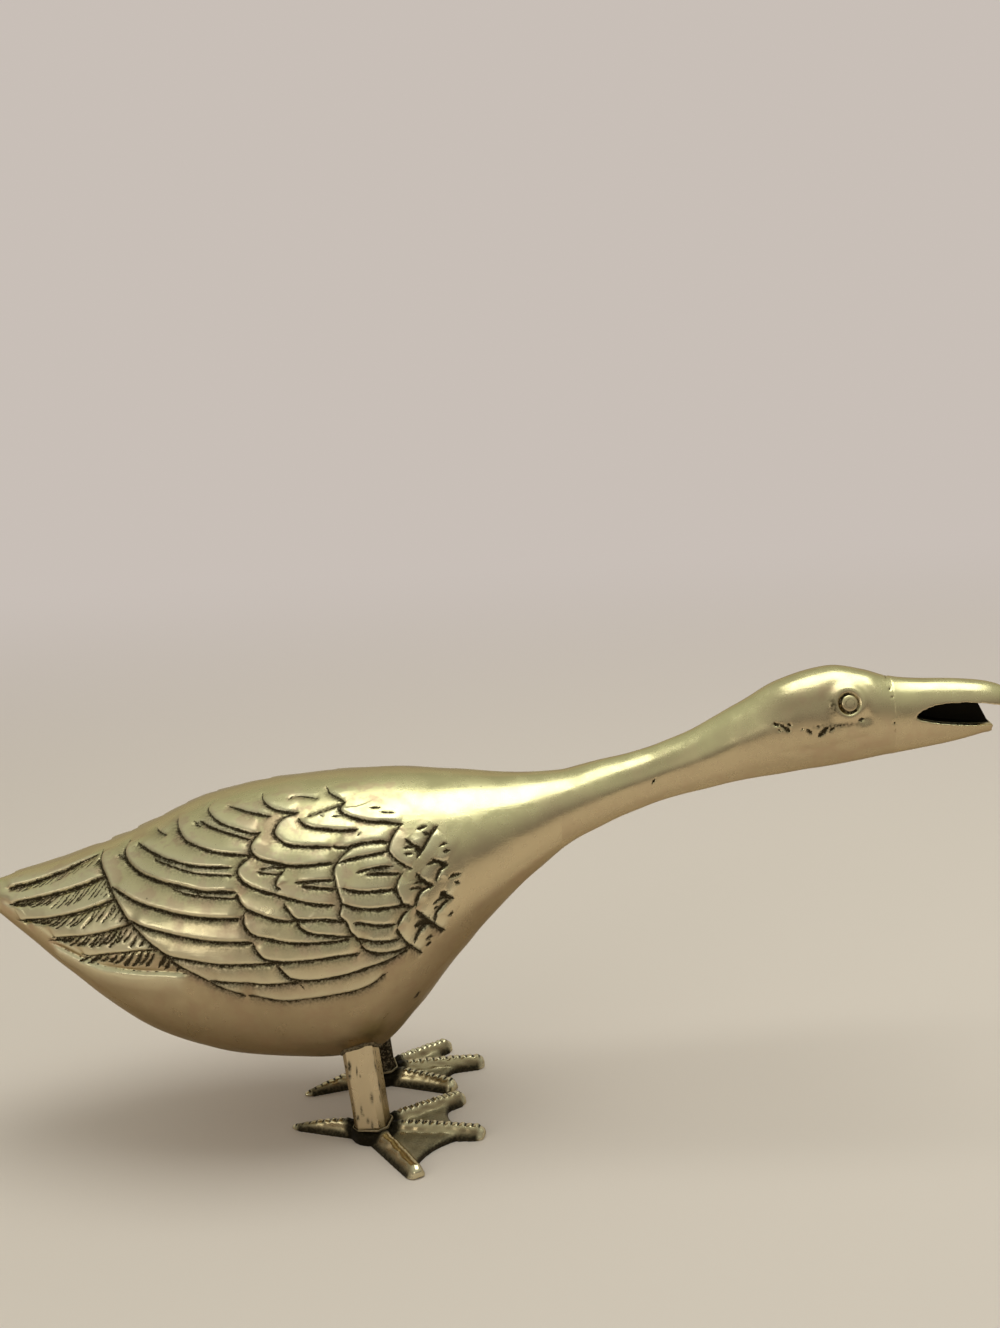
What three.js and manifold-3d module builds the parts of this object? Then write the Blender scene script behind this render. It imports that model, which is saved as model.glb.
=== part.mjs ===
// Brass goose figurine: hollow cast body halves with feathers in relief, a hollow neck and head, a beak,
// eyes, legs and webbed feet, brazed together. Millimetres, +X from tail to beak, +Y to the goose's left,
// +Z up, soles on z = 0.
import * as THREE from "three";
import { mergeVertices } from "three/addons/utils/BufferGeometryUtils.js";
import Module from "manifold-3d";

const wasm = await Module();
wasm.setup();

// Driving dimensions of the whole goose
const BODY_LENGTH = 167;
const BODY_HEIGHT = 82;
const BODY_WIDTH = 71;
const BELLY_CLEARANCE = 20.2;
const NECK_LENGTH = 93;
const NECK_DIAMETER = 16.2;
const CROWN_HEIGHT = 125.2;
const HEAD_HEIGHT = 28.5;
const HEAD_WIDTH = 22.4;
const BEAK_LENGTH = 34;
const BEAK_HEIGHT = 22;
const BEAK_WIDTH = 17;

// Casting walls and the joints between castings
const BODY_WALL = 3;
const NECK_WALL = 2;
const SPIGOT_LENGTH = 9;
const SOLID_TAIL = 20;
const CLEARANCE = 0.3;
const OVERCUT = 1;

// Mouth: its corner and the tip of the lower jaw, from the beak joint and the middle of the head
const MOUTH_CORNER = 5.4;
const MOUTH_HEIGHT = 6.9;
const JAW_LENGTH = 27.5;
const PALATE_WEB = 2.4;

// Eyes
const EYE_ALONG = 79.8;
const EYE_ABOVE = 5.9;
const EYE_STUD_RADIUS = 2.1;
const EYE_SOCKET_RADIUS = 3.1;
const EYE_SOCKET_DEPTH = 1.1;
const EYELID_THICKNESS = 1.5;
const EYE_STEM_RADIUS = 1.2;

// Legs and feet
const LEG_FROM_TAIL = 109.5;
const LEG_SPREAD = 35;
const LEG_SIDE = 9;
const LEG_BEVEL = 1.5;
const LEG_LEAN = THREE.MathUtils.degToRad(5);
const TOE_OUT = THREE.MathUtils.degToRad(11);
const TENON_RADIUS = 3;
const TENON_LENGTH = 7.5;
const LEG_BOSS_RADIUS = 6.4;
const FILLET_HEIGHT = 1.1;
const FILLET_REACH = 0.8;
const HUB_RADIUS = 6.4;
const HUB_HEIGHT = 3.4;
const ANKLE_TENON_LENGTH = 2.2;
const FOOT_REACH = 32;
const TOE_WIDTH = 7.4;
const TOE_CREST = 1.7;
const TOE_NOSE_LENGTH = 1.6;
const TOE_HEIGHT = 5.2;
const TOE_TOOTH_PITCH = 2;
const TOE_TOOTH_DEPTH = 0.7;
const WEB_THICKNESS = 2;
const WEB_REACH = 0.88;
const WEB_SCALLOP = 0.7;

// Toes of each foot: degrees from its axis, positive to the inside, share of the reach, and the share of
// the height and width left at the tip
const TOES = {
  right: {
    outer: { turn: -51, reach: 0.91, tip: 0.75 },
    middle: { turn: 3, reach: 1, tip: 0.75 },
    inner: { turn: 46, reach: 0.97, tip: 0.75 },
    back: { turn: 175, reach: 0.78, tip: 0.3 },
  },
  left: {
    outer: { turn: -30, reach: 0.86, tip: 0.75 },
    middle: { turn: 2, reach: 1, tip: 0.75 },
    inner: { turn: 36, reach: 0.8, tip: 0.75 },
    back: { turn: 169, reach: 0.75, tip: 0.3 },
  },
};

// Feathers: how far each stands out of the skin, how deep it is rooted, how soon it drops to its edge, and
// the widths
const FEATHER_HEIGHT = 0.8;
const FEATHER_ROOT = 0.5;
const FEATHER_EDGE = 0.5;
const TAIL_FEATHER_WIDTH = 3.6;
const FLIGHT_FEATHER_WIDTH = 5.4;
const COVERT_WIDTH = 3;

// Lower edges of the feathers on the right flank, tip first: share of the body's length, degrees above the
// widest line. Each feather lies to the left of its edge.
const TAIL_FEATHERS = [
  [[0.066, 44], [0.112, 55], [0.15, 64], [0.19, 71]],
  [[0.088, 21], [0.117, 31], [0.157, 40], [0.246, 52]],
  [[0.109, 0], [0.147, 14], [0.196, 24], [0.269, 36]],
  [[0.147, -8], [0.181, 2], [0.226, 11], [0.295, 21]],
  [[0.196, -10], [0.241, -1], [0.305, 6], [0.344, 7]],
];
const FLIGHT_FEATHERS = [
  [
    [0.234, 75], [0.238, 60], [0.263, 38], [0.291, 22], [0.34, 7], [0.369, 0], [0.44, -10],
    [0.539, -16], [0.7, -14],
  ],
  [[0.277, 71], [0.289, 56], [0.331, 43], [0.384, 35], [0.477, 29]],
  [[0.261, 43], [0.316, 30], [0.393, 21], [0.481, 19]],
  [[0.292, 23], [0.351, 15], [0.431, 10], [0.499, 9]],
  [[0.341, 7], [0.401, 2], [0.485, 0], [0.533, 0]],
  [[0.419, -6], [0.514, -8], [0.565, -8]],
  [[0.3, 71], [0.329, 58], [0.377, 47], [0.431, 41], [0.47, 40]],
  [[0.367, 75], [0.384, 59], [0.428, 49], [0.501, 44]],
  [[0.42, 74], [0.441, 64], [0.495, 55], [0.514, 54]],
];
const COVERTS = [
  [[0.554, 61], [0.534, 55], [0.551, 48], [0.625, 43]],
  [[0.513, 54], [0.496, 47], [0.517, 41], [0.575, 37], [0.634, 37]],
  [[0.499, 44], [0.475, 38], [0.503, 30], [0.575, 24], [0.632, 21]],
  [[0.475, 29], [0.487, 23], [0.539, 17], [0.568, 16]],
  [[0.485, 21], [0.497, 12], [0.556, 8], [0.655, 7]],
  [[0.498, 9], [0.514, 3], [0.581, 1], [0.667, 1]],
  [[0.53, 0], [0.556, -6], [0.629, -7], [0.745, -11]],
  [[0.641, 61], [0.669, 55], [0.745, 47]],
  [[0.628, 44], [0.681, 44], [0.723, 41]],
  [[0.637, 27], [0.665, 25], [0.726, 19]],
  [[0.639, 21], [0.689, 16], [0.751, 8]],
  [[0.667, 4], [0.695, -3], [0.745, -10]],
];

// Facets round a full section, and the spacing of sections along each casting
const FACETS = 32;
const BORE_FACETS = 16;
const BODY_STEP = 6;
const BODY_BORE_STEP = 11;
const NECK_STEP = 7.5;
const BEAK_STEP = 4;
const FEATHER_STEP = 8;

const TAIL_X = -(BODY_LENGTH + NECK_LENGTH + BEAK_LENGTH) / 2;
const NECK_X = TAIL_X + BODY_LENGTH;
const BEAK_X = NECK_X + NECK_LENGTH;
const TIP_X = BEAK_X + BEAK_LENGTH;
const HEAD_MIDDLE = CROWN_HEIGHT - HEAD_HEIGHT / 2;
const FLANK_RADIUS = (BODY_HEIGHT + BODY_WIDTH) / 4;

// Upright sections of the body: share of its length, ridge and keel as shares of its height, share of width
const BODY_PROFILE = [
  [0, 0.66, 0.63, 0.03],
  [0.05, 0.69, 0.56, 0.17],
  [0.16, 0.747, 0.352, 0.455],
  [0.28, 0.83, 0.153, 0.725],
  [0.4, 0.934, 0.046, 0.9],
  [0.52, 0.982, 0.006, 0.99],
  [0.62, 0.997, 0, 1],
  [0.68, 1, 0.03, 0.965],
  [0.74, 0.998, 0.15, 0.875],
  [0.82, 0.983, 0.345, 0.7],
  [0.91, 0.963, 0.538, 0.49],
  [1, 0.962, 0.688, 0.325],
];

// Sections of the neck and head: share of the length, share of the rise to the head, height and width
const NECK_PROFILE = [
  [0.08, 0.13, 1.22 * NECK_DIAMETER, 1.25 * NECK_DIAMETER],
  [0.27, 0.37, 1.02 * NECK_DIAMETER, NECK_DIAMETER],
  [0.4, 0.53, 1.1 * NECK_DIAMETER, 1.01 * NECK_DIAMETER],
  [0.54, 0.73, 0.775 * HEAD_HEIGHT, 0.82 * HEAD_WIDTH],
  [0.67, 0.9, 0.945 * HEAD_HEIGHT, 0.945 * HEAD_WIDTH],
  [0.81, 1, HEAD_HEIGHT, HEAD_WIDTH],
  [0.92, 1, 0.9 * HEAD_HEIGHT, 0.9 * HEAD_WIDTH],
  [1, 0.97, BEAK_HEIGHT, BEAK_WIDTH],
];

// Sections of the closed beak, in the same terms, before the mouth is cut
const BEAK_PROFILE = [
  [0.21, 0.97, 0.91 * BEAK_HEIGHT, 0.88 * BEAK_WIDTH],
  [0.5, 0.99, 0.81 * BEAK_HEIGHT, 0.81 * BEAK_WIDTH],
  [0.74, 1.01, 0.68 * BEAK_HEIGHT, 0.73 * BEAK_WIDTH],
  [0.88, 1.01, 0.56 * BEAK_HEIGHT, 0.58 * BEAK_WIDTH],
  [1, 1.08, 0.2 * BEAK_HEIGHT, 0.19 * BEAK_WIDTH],
];

const stations = [
  ...bodyStations(),
  ...risingStations(NECK_PROFILE, NECK_X, NECK_LENGTH),
  ...risingStations(BEAK_PROFILE, BEAK_X, BEAK_LENGTH),
];

function bodyStations() {
  return BODY_PROFILE.map(([along, ridge, keel, width]) => ({
    x: TAIL_X + along * BODY_LENGTH,
    ridge: BELLY_CLEARANCE + ridge * BODY_HEIGHT,
    keel: BELLY_CLEARANCE + keel * BODY_HEIGHT,
    half: (width * BODY_WIDTH) / 2,
  }));
}

function risingStations(profile, start, length) {
  const [, ridge, keel] = BODY_PROFILE.at(-1);
  const base = BELLY_CLEARANCE + ((ridge + keel) / 2) * BODY_HEIGHT;
  return profile.map(([along, rise, height, width]) => {
    const middle = base + rise * (HEAD_MIDDLE - base);
    return {
      x: start + along * length,
      ridge: middle + height / 2,
      keel: middle - height / 2,
      half: width / 2,
    };
  });
}

// Slope of one outline at a station, from its neighbours
function slopeAt(index, key) {
  const before = stations[Math.max(index - 1, 0)];
  const after = stations[Math.min(index + 1, stations.length - 1)];
  return (after[key] - before[key]) / (after.x - before.x);
}

// Smooth outline value at x: a cubic through the stations
function outline(x, key) {
  const next = stations.findIndex((station) => station.x >= x);
  const right = next < 0 ? stations.length - 1 : Math.max(next, 1);
  const from = stations[right - 1];
  const to = stations[right];
  const run = to.x - from.x;
  const t = THREE.MathUtils.clamp((x - from.x) / run, 0, 1);
  const bend = (2 * t - 3) * t * t + 1;
  const start = bend * from[key] + (((t - 2) * t + 1) * t) * run * slopeAt(right - 1, key);
  return start + (1 - bend) * to[key] + (t - 1) * t * t * run * slopeAt(right, key);
}

// Section at x, moved in by a wall measured square to the surface
function sectionAt(x, wall = 0) {
  const step = 0.5;
  const offset = (key) => {
    const slope = (outline(x + step, key) - outline(x - step, key)) / (2 * step);
    return wall * Math.hypot(1, slope);
  };
  return {
    x,
    ridge: outline(x, "ridge") - offset("ridge"),
    keel: outline(x, "keel") + offset("keel"),
    half: outline(x, "half") - offset("half"),
  };
}

function sectionPoint({ x, ridge, keel, half }, angle) {
  const y = -half * Math.cos(angle);
  const z = (ridge + keel) / 2 + ((ridge - keel) / 2) * Math.sin(angle);
  return new THREE.Vector3(x, Math.abs(y) < 1e-9 ? 0 : y, z);
}

// Direction out of a section's skin
function outward({ ridge, keel, half }, angle) {
  const tall = (ridge - keel) / 2;
  return new THREE.Vector3(0, -Math.cos(angle) / half, Math.sin(angle) / tall).normalize();
}

function wholeRing(section, facets = FACETS) {
  const turn = (2 * Math.PI) / facets;
  return Array.from({ length: facets }, (_, i) => sectionPoint(section, i * turn - Math.PI / 2));
}

// The right half of a ring, from keel to ridge: its closing edge lies on the middle plane
function rightRing(section) {
  const turn = (2 * Math.PI) / FACETS;
  return Array.from({ length: FACETS / 2 + 1 }, (_, i) => sectionPoint(section, i * turn - Math.PI / 2));
}

function spaced(from, to, step) {
  const count = Math.ceil((to - from) / step);
  return Array.from({ length: count + 1 }, (_, i) => from + ((to - from) * i) / count);
}

// Closed skin through rings of points, with a flat fan over each end
function loft(rings) {
  const size = rings[0].length;
  const centres = [rings[0], rings.at(-1)].map((ring) =>
    ring.reduce((sum, point) => sum.add(point), new THREE.Vector3()).divideScalar(size));
  const points = [...rings.flat(), ...centres];
  const faces = [];
  for (let i = 0; i < size; i += 1) {
    const j = (i + 1) % size;
    for (let r = 0; r + 1 < rings.length; r += 1) {
      const low = r * size;
      const high = low + size;
      faces.push(low + i, low + j, high + j, low + i, high + j, high + i);
    }
    const last = (rings.length - 1) * size;
    faces.push(points.length - 2, j, i, points.length - 1, last + i, last + j);
  }
  const geometry = new THREE.BufferGeometry().setFromPoints(points);
  geometry.setIndex(faces);
  return geometry;
}

// Solid for cutting and joining, turned outward if its skin was wound the other way
function solid(geometry) {
  const bare = new THREE.BufferGeometry();
  bare.setAttribute("position", geometry.getAttribute("position").clone());
  bare.setIndex(geometry.getIndex());
  const merged = mergeVertices(bare, 1e-5);
  const corners = Uint32Array.from(merged.getIndex().array);
  const places = Float32Array.from(merged.getAttribute("position").array);
  if (signedVolume(places, corners) < 0) corners.reverse();
  return new wasm.Manifold(new wasm.Mesh({ numProp: 3, vertProperties: places, triVerts: corners }));
}

function signedVolume(places, corners) {
  const corner = (i) => new THREE.Vector3().fromArray(places, corners[i] * 3);
  let volume = 0;
  for (let i = 0; i < corners.length; i += 3) {
    volume += corner(i).dot(corner(i + 1).cross(corner(i + 2))) / 6;
  }
  return volume;
}

function geometryOf(body) {
  const { vertProperties, triVerts } = body.getMesh();
  const geometry = new THREE.BufferGeometry();
  geometry.setAttribute("position", new THREE.BufferAttribute(Float32Array.from(vertProperties), 3));
  geometry.setIndex(new THREE.BufferAttribute(Uint32Array.from(triVerts), 1));
  geometry.computeVertexNormals();
  return geometry;
}

function placed(geometry, matrix) {
  return solid(geometry.clone().applyMatrix4(matrix));
}

const MIRROR = new THREE.Matrix4().makeScale(1, -1, 1);

// Frames: the leg stands on its foot's centre, turned outward, and the leg bar leans back from the ankle
const footFrame = new THREE.Matrix4()
  .makeTranslation(TAIL_X + LEG_FROM_TAIL, -LEG_SPREAD / 2, 0)
  .multiply(new THREE.Matrix4().makeRotationZ(-TOE_OUT));
const legFrame = new THREE.Matrix4()
  .makeTranslation(0, 0, HUB_HEIGHT)
  .multiply(new THREE.Matrix4().makeRotationY(-LEG_LEAN));
const legInWorld = footFrame.clone().multiply(legFrame);

// Length of the leg bar's axis from the ankle to the belly skin
function legReach() {
  const point = new THREE.Vector3();
  let inside = BODY_HEIGHT / 2;
  let outside = 0;
  while (inside - outside > 1e-3) {
    const reach = (inside + outside) / 2;
    point.set(0, 0, reach).applyMatrix4(legInWorld);
    const { ridge, keel, half } = sectionAt(point.x);
    const level = (point.z - (ridge + keel) / 2) / ((ridge - keel) / 2);
    if (Math.hypot(level, point.y / half) < 1) inside = reach;
    else outside = reach;
  }
  return outside;
}

const LEG_REACH = legReach();

// Upright cylinder between two heights
function post(radius, low, high, sides = 24) {
  return new THREE.CylinderGeometry(radius, radius, high - low, sides)
    .rotateX(Math.PI / 2)
    .translate(0, 0, (low + high) / 2);
}

function bevelledSquare(grow, z) {
  const edge = LEG_SIDE / 2 + grow;
  const flat = LEG_SIDE / 2 - LEG_BEVEL;
  const axis = new THREE.Vector2();
  const ring = [];
  for (let quarter = 0; quarter < 4; quarter += 1) {
    for (const across of [-flat, flat]) {
      const corner = new THREE.Vector2(edge, across).rotateAround(axis, (quarter * Math.PI) / 2);
      ring.push(new THREE.Vector3(corner.x, corner.y, z));
    }
  }
  return ring;
}

function bar(low, high, grow = 0) {
  return loft([bevelledSquare(grow, low), bevelledSquare(grow, high)]);
}

// Outer skin of the body, grown outward, in the leg bar's frame
function bellyForLeg(grow) {
  const rings = spaced(TAIL_X + SOLID_TAIL, NECK_X, BODY_STEP).map((x) => wholeRing(sectionAt(x, -grow)));
  return placed(loft(rings), legInWorld.clone().invert());
}

// One feather: a wedge along its edge that rises out of the skin behind the edge and drops away in front
function feather(edge, width) {
  const line = new THREE.SplineCurve(edge.map(([share, turn]) =>
    new THREE.Vector2(TAIL_X + share * BODY_LENGTH, FLANK_RADIUS * THREE.MathUtils.degToRad(turn))));
  const count = Math.ceil(line.getLength() / FEATHER_STEP);
  const rings = Array.from({ length: count + 1 }, (_, i) => {
    const place = line.getPointAt(i / count);
    const heading = line.getTangentAt(i / count);
    const { ridge, keel, half } = sectionAt(place.x);
    const slimness = ((ridge - keel) / 2 + half) / (2 * FLANK_RADIUS);
    const along = heading.clone().setY(heading.y * slimness).normalize();
    const rooted = (inward, lift) => {
      const section = sectionAt(place.x - along.y * inward);
      const angle = (place.y + (along.x * inward) / slimness) / FLANK_RADIUS;
      return sectionPoint(section, angle).addScaledVector(outward(section, angle), lift);
    };
    const atEnd = i === 0 || i === count;
    return [
      rooted(0, -FEATHER_ROOT),
      rooted(FEATHER_EDGE, atEnd ? -CLEARANCE : FEATHER_HEIGHT),
      rooted(width, -FEATHER_ROOT),
    ];
  });
  return solid(loft(rings));
}

function rightBodyHalf() {
  const outer = solid(loft(spaced(TAIL_X, NECK_X, BODY_STEP).map((x) => rightRing(sectionAt(x)))));
  const hollow = solid(loft(spaced(TAIL_X + SOLID_TAIL, NECK_X + BODY_BORE_STEP, BODY_BORE_STEP)
    .map((x) => wholeRing(sectionAt(x, BODY_WALL), BORE_FACETS))));
  const boss = placed(post(LEG_BOSS_RADIUS, LEG_REACH - TENON_LENGTH, LEG_REACH + TENON_LENGTH), legInWorld);
  const socket = placed(
    post(TENON_RADIUS + CLEARANCE, LEG_REACH - TENON_LENGTH, LEG_REACH + TENON_LENGTH + OVERCUT),
    legInWorld,
  );
  let half = outer.subtract(hollow).add(boss.intersect(outer)).subtract(socket);
  for (const edge of TAIL_FEATHERS) half = half.add(feather(edge, TAIL_FEATHER_WIDTH));
  for (const edge of FLIGHT_FEATHERS) half = half.add(feather(edge, FLIGHT_FEATHER_WIDTH));
  for (const edge of COVERTS) half = half.add(feather(edge, COVERT_WIDTH));
  return half;
}

// Spigot that plugs into the bore behind a joint, following the bore where it narrows
function spigotSection(x, joint, wall) {
  const here = sectionAt(x, wall);
  const mouth = sectionAt(joint, wall);
  return {
    x,
    ridge: Math.min(here.ridge, mouth.ridge) - CLEARANCE,
    keel: Math.max(here.keel, mouth.keel) + CLEARANCE,
    half: Math.min(here.half, mouth.half) - CLEARANCE,
  };
}

function spigotRings(joint, wall, shrink = 0, facets = FACETS) {
  return spaced(joint - SPIGOT_LENGTH, joint, SPIGOT_LENGTH / 3).map((x) => {
    const { ridge, keel, half } = spigotSection(x, joint, wall);
    return wholeRing({ x, ridge: ridge - shrink, keel: keel + shrink, half: half - shrink }, facets);
  });
}

// Frame of the right eye: its third axis points out of the head's skin
function eyeFrame() {
  const section = sectionAt(NECK_X + EYE_ALONG);
  const middle = (section.ridge + section.keel) / 2;
  const angle = Math.asin((HEAD_MIDDLE + EYE_ABOVE - middle) / (section.ridge - middle));
  const out = outward(section, angle);
  const forward = new THREE.Vector3(1, 0, 0);
  const frame = new THREE.Matrix4().makeBasis(forward, out.clone().cross(forward), out);
  return frame.setPosition(sectionPoint(section, angle));
}

const eyeInWorld = eyeFrame();

function neckAndHead() {
  const skin = spaced(NECK_X, BEAK_X, NECK_STEP).map((x) => wholeRing(sectionAt(x)));
  const outer = solid(loft([...spigotRings(NECK_X, BODY_WALL), ...skin]));
  const spigotBore = spigotRings(NECK_X, BODY_WALL, NECK_WALL, BORE_FACETS);
  const bore = spaced(NECK_X + NECK_STEP, BEAK_X + NECK_STEP, NECK_STEP)
    .map((x) => wholeRing(sectionAt(x, NECK_WALL), BORE_FACETS));
  const hollow = solid(loft([...openedBack(spigotBore), ...bore]));
  const lid = new THREE.TorusGeometry(EYE_SOCKET_RADIUS + EYELID_THICKNESS / 2, EYELID_THICKNESS / 2, 6, 16);
  const socket = post(EYE_SOCKET_RADIUS, -EYE_SOCKET_DEPTH, EYE_SOCKET_DEPTH * 3, 16);
  const stemHole = post(EYE_STEM_RADIUS + CLEARANCE, -NECK_WALL * 2, 0, 12);
  let head = outer.subtract(hollow);
  for (const side of [new THREE.Matrix4(), MIRROR]) {
    const frame = side.clone().multiply(eyeInWorld);
    head = head.add(placed(lid, frame)).subtract(placed(socket, frame)).subtract(placed(stemHole, frame));
  }
  return head.subtract(hollow);
}

// Rings with one more in front of the first, so that a bore runs out past the end of its spigot
function openedBack(rings) {
  return [rings[0].map((point) => point.clone().setX(point.x - OVERCUT)), ...rings];
}

// Side outline of the open mouth, which also clears the space in front of the shorter lower jaw
function mouthOutline() {
  const front = 1.05 * BEAK_LENGTH;
  const floor = -BEAK_HEIGHT;
  const roof = 0.62 * MOUTH_HEIGHT;
  const mouth = new THREE.Shape();
  mouth.moveTo(MOUTH_CORNER, 0);
  mouth.bezierCurveTo(0.26 * BEAK_LENGTH, roof, 0.59 * BEAK_LENGTH, roof, front, 0);
  mouth.lineTo(front, floor);
  mouth.lineTo(JAW_LENGTH, floor);
  mouth.lineTo(JAW_LENGTH, -0.55 * MOUTH_HEIGHT);
  mouth.quadraticCurveTo(0.4 * JAW_LENGTH, -0.38 * MOUTH_HEIGHT, MOUTH_CORNER, 0);
  return mouth;
}

// Thin wall left between the two sides of the mouth, with a raked front edge
function palateOutline() {
  const top = MOUTH_HEIGHT;
  return new THREE.Shape([
    new THREE.Vector2(0.8 * MOUTH_CORNER, -top),
    new THREE.Vector2(1.04 * JAW_LENGTH, -top),
    new THREE.Vector2(0.78 * JAW_LENGTH, top),
    new THREE.Vector2(0.8 * MOUTH_CORNER, top),
  ]);
}

// Side outline pulled across the beak, centred on the middle plane
function acrossBeak(shape, width) {
  return solid(new THREE.ExtrudeGeometry(shape, { depth: width, bevelEnabled: false, curveSegments: 10 })
    .translate(0, 0, -width / 2)
    .rotateX(Math.PI / 2)
    .translate(BEAK_X, 0, HEAD_MIDDLE));
}

function beak() {
  const skin = spaced(BEAK_X, TIP_X, BEAK_STEP).map((x) => wholeRing(sectionAt(x)));
  const closed = solid(loft([...spigotRings(BEAK_X, NECK_WALL), ...skin]));
  const mouth = acrossBeak(mouthOutline(), 2 * BEAK_WIDTH).subtract(acrossBeak(palateOutline(), PALATE_WEB));
  return closed.subtract(mouth);
}

// Domed stud with a stem through the head's wall, in the eye's frame
function eyeStud() {
  const floor = -EYE_SOCKET_DEPTH + CLEARANCE;
  const profile = new THREE.Path();
  profile.moveTo(0, floor - NECK_WALL);
  profile.lineTo(EYE_STEM_RADIUS, floor - NECK_WALL);
  profile.lineTo(EYE_STEM_RADIUS, floor);
  profile.lineTo(EYE_STUD_RADIUS, floor);
  profile.lineTo(EYE_STUD_RADIUS, 0);
  profile.quadraticCurveTo(0.8 * EYE_STUD_RADIUS, 0.6 * EYE_STUD_RADIUS, 0, 0.62 * EYE_STUD_RADIUS);
  return new THREE.LatheGeometry(profile.getPoints(4), 16).rotateX(Math.PI / 2);
}

// Level block under the ankle joint, in the leaning leg bar's frame
function ankleBlock(top) {
  const side = 4 * HUB_RADIUS;
  const block = new THREE.BoxGeometry(side, side, side).translate(0, 0, top - side / 2);
  return placed(block, legFrame.clone().invert());
}

function leg(belly) {
  const block = ankleBlock(HUB_HEIGHT + CLEARANCE);
  const shank = solid(bar(-LEG_SIDE, LEG_REACH + LEG_SIDE)).subtract(belly).subtract(block);
  const tenon = solid(post(TENON_RADIUS, -ANKLE_TENON_LENGTH, LEG_REACH + TENON_LENGTH));
  return shank.add(tenon);
}

// Sleeve of filler round the leg bar, before it is trimmed to the piece that it joins
function sleeve(low, high) {
  return solid(bar(low, high, FILLET_REACH)).subtract(solid(bar(low - OVERCUT, high + OVERCUT, CLEARANCE)));
}

function bellyFillet(belly) {
  const near = bellyForLeg(CLEARANCE + FILLET_HEIGHT);
  return sleeve(LEG_REACH - LEG_SIDE, LEG_REACH + LEG_SIDE).intersect(near).subtract(belly);
}

function ankleFillet() {
  return sleeve(-LEG_SIDE, FILLET_HEIGHT).subtract(ankleBlock(HUB_HEIGHT + CLEARANCE));
}

// Room for the leg and its filler between the roots of the toes
function legSeat() {
  const room = solid(bar(-LEG_SIDE, LEG_SIDE, FILLET_REACH + CLEARANCE)).subtract(ankleBlock(HUB_HEIGHT));
  return placed(geometryOf(room), legFrame);
}

// Ridge of one toe in side view, with a saw-toothed crest that falls to the tip
function toeOutline(length, tip) {
  const side = new THREE.Shape();
  const toothed = length - HUB_RADIUS - TOE_NOSE_LENGTH;
  const teeth = Math.round(toothed / TOE_TOOTH_PITCH);
  const pitch = toothed / teeth;
  const crest = (along) => TOE_HEIGHT * THREE.MathUtils.lerp(1, tip, (along / length) ** 2);
  side.moveTo(0, 0);
  side.lineTo(length - TOE_NOSE_LENGTH, 0);
  side.lineTo(length, 0);
  side.lineTo(length, crest(length) - TOE_NOSE_LENGTH * tip);
  for (let tooth = teeth - 1; tooth >= 0; tooth -= 1) {
    const along = HUB_RADIUS + tooth * pitch;
    side.lineTo(along + pitch * 0.7, crest(along + pitch));
    side.lineTo(along, crest(along) - TOE_TOOTH_DEPTH);
  }
  side.lineTo(0, TOE_HEIGHT);
  return side;
}

function toe({ turn, reach, tip }) {
  const length = reach * FOOT_REACH;
  const ridge = new THREE.ExtrudeGeometry(toeOutline(length, tip), { depth: 1, bevelEnabled: false })
    .translate(0, 0, -0.5)
    .rotateX(Math.PI / 2);
  const place = ridge.getAttribute("position");
  for (let i = 0; i < place.count; i += 1) {
    const along = place.getX(i);
    const narrowing = THREE.MathUtils.lerp(TOE_WIDTH, TOE_CREST, place.getZ(i) / TOE_HEIGHT);
    const taper = THREE.MathUtils.lerp(1, tip, (along / length) ** 2);
    const nose = along > length - TOE_NOSE_LENGTH / 2 ? TOE_NOSE_LENGTH * tip : 0;
    place.setY(i, place.getY(i) * (narrowing * taper - nose));
  }
  return solid(ridge.rotateZ(THREE.MathUtils.degToRad(turn)));
}

// Web between two toes, with its front edge drawn in as a scallop
function web(first, second) {
  const tipOf = ({ turn, reach }) => {
    const angle = THREE.MathUtils.degToRad(turn);
    return new THREE.Vector2(Math.cos(angle), Math.sin(angle)).multiplyScalar(WEB_REACH * reach * FOOT_REACH);
  };
  const from = tipOf(first);
  const to = tipOf(second);
  const dip = from.clone().add(to).multiplyScalar(WEB_SCALLOP / 2);
  const shape = new THREE.Shape();
  shape.moveTo(0, 0);
  shape.lineTo(from.x, from.y);
  shape.quadraticCurveTo(dip.x, dip.y, to.x, to.y);
  const sheet = { depth: WEB_THICKNESS, bevelEnabled: false, curveSegments: 8 };
  return solid(new THREE.ExtrudeGeometry(shape, sheet));
}

function foot(toes) {
  let body = solid(post(HUB_RADIUS, 0, HUB_HEIGHT));
  for (const each of Object.values(toes)) body = body.add(toe(each));
  body = body.add(web(toes.outer, toes.middle)).add(web(toes.middle, toes.inner));
  const hole = post(TENON_RADIUS + CLEARANCE, -ANKLE_TENON_LENGTH - CLEARANCE, OVERCUT);
  return body.subtract(legSeat()).subtract(placed(hole, legFrame));
}

const FINISHES = {
  polished: { color: 0xb9a468, roughness: 0.28 },
  cast: { color: 0x9c8a58, roughness: 0.42 },
  filler: { color: 0x8a7748, roughness: 0.5 },
};

function piece(name, geometry, finish) {
  const brass = new THREE.MeshStandardMaterial({ metalness: 1, ...FINISHES[finish] });
  const mesh = new THREE.Mesh(geometry, brass);
  mesh.name = name;
  return mesh;
}

function framed(matrix, ...children) {
  const group = new THREE.Group();
  matrix.decompose(group.position, group.quaternion, group.scale);
  return group.add(...children);
}

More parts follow.
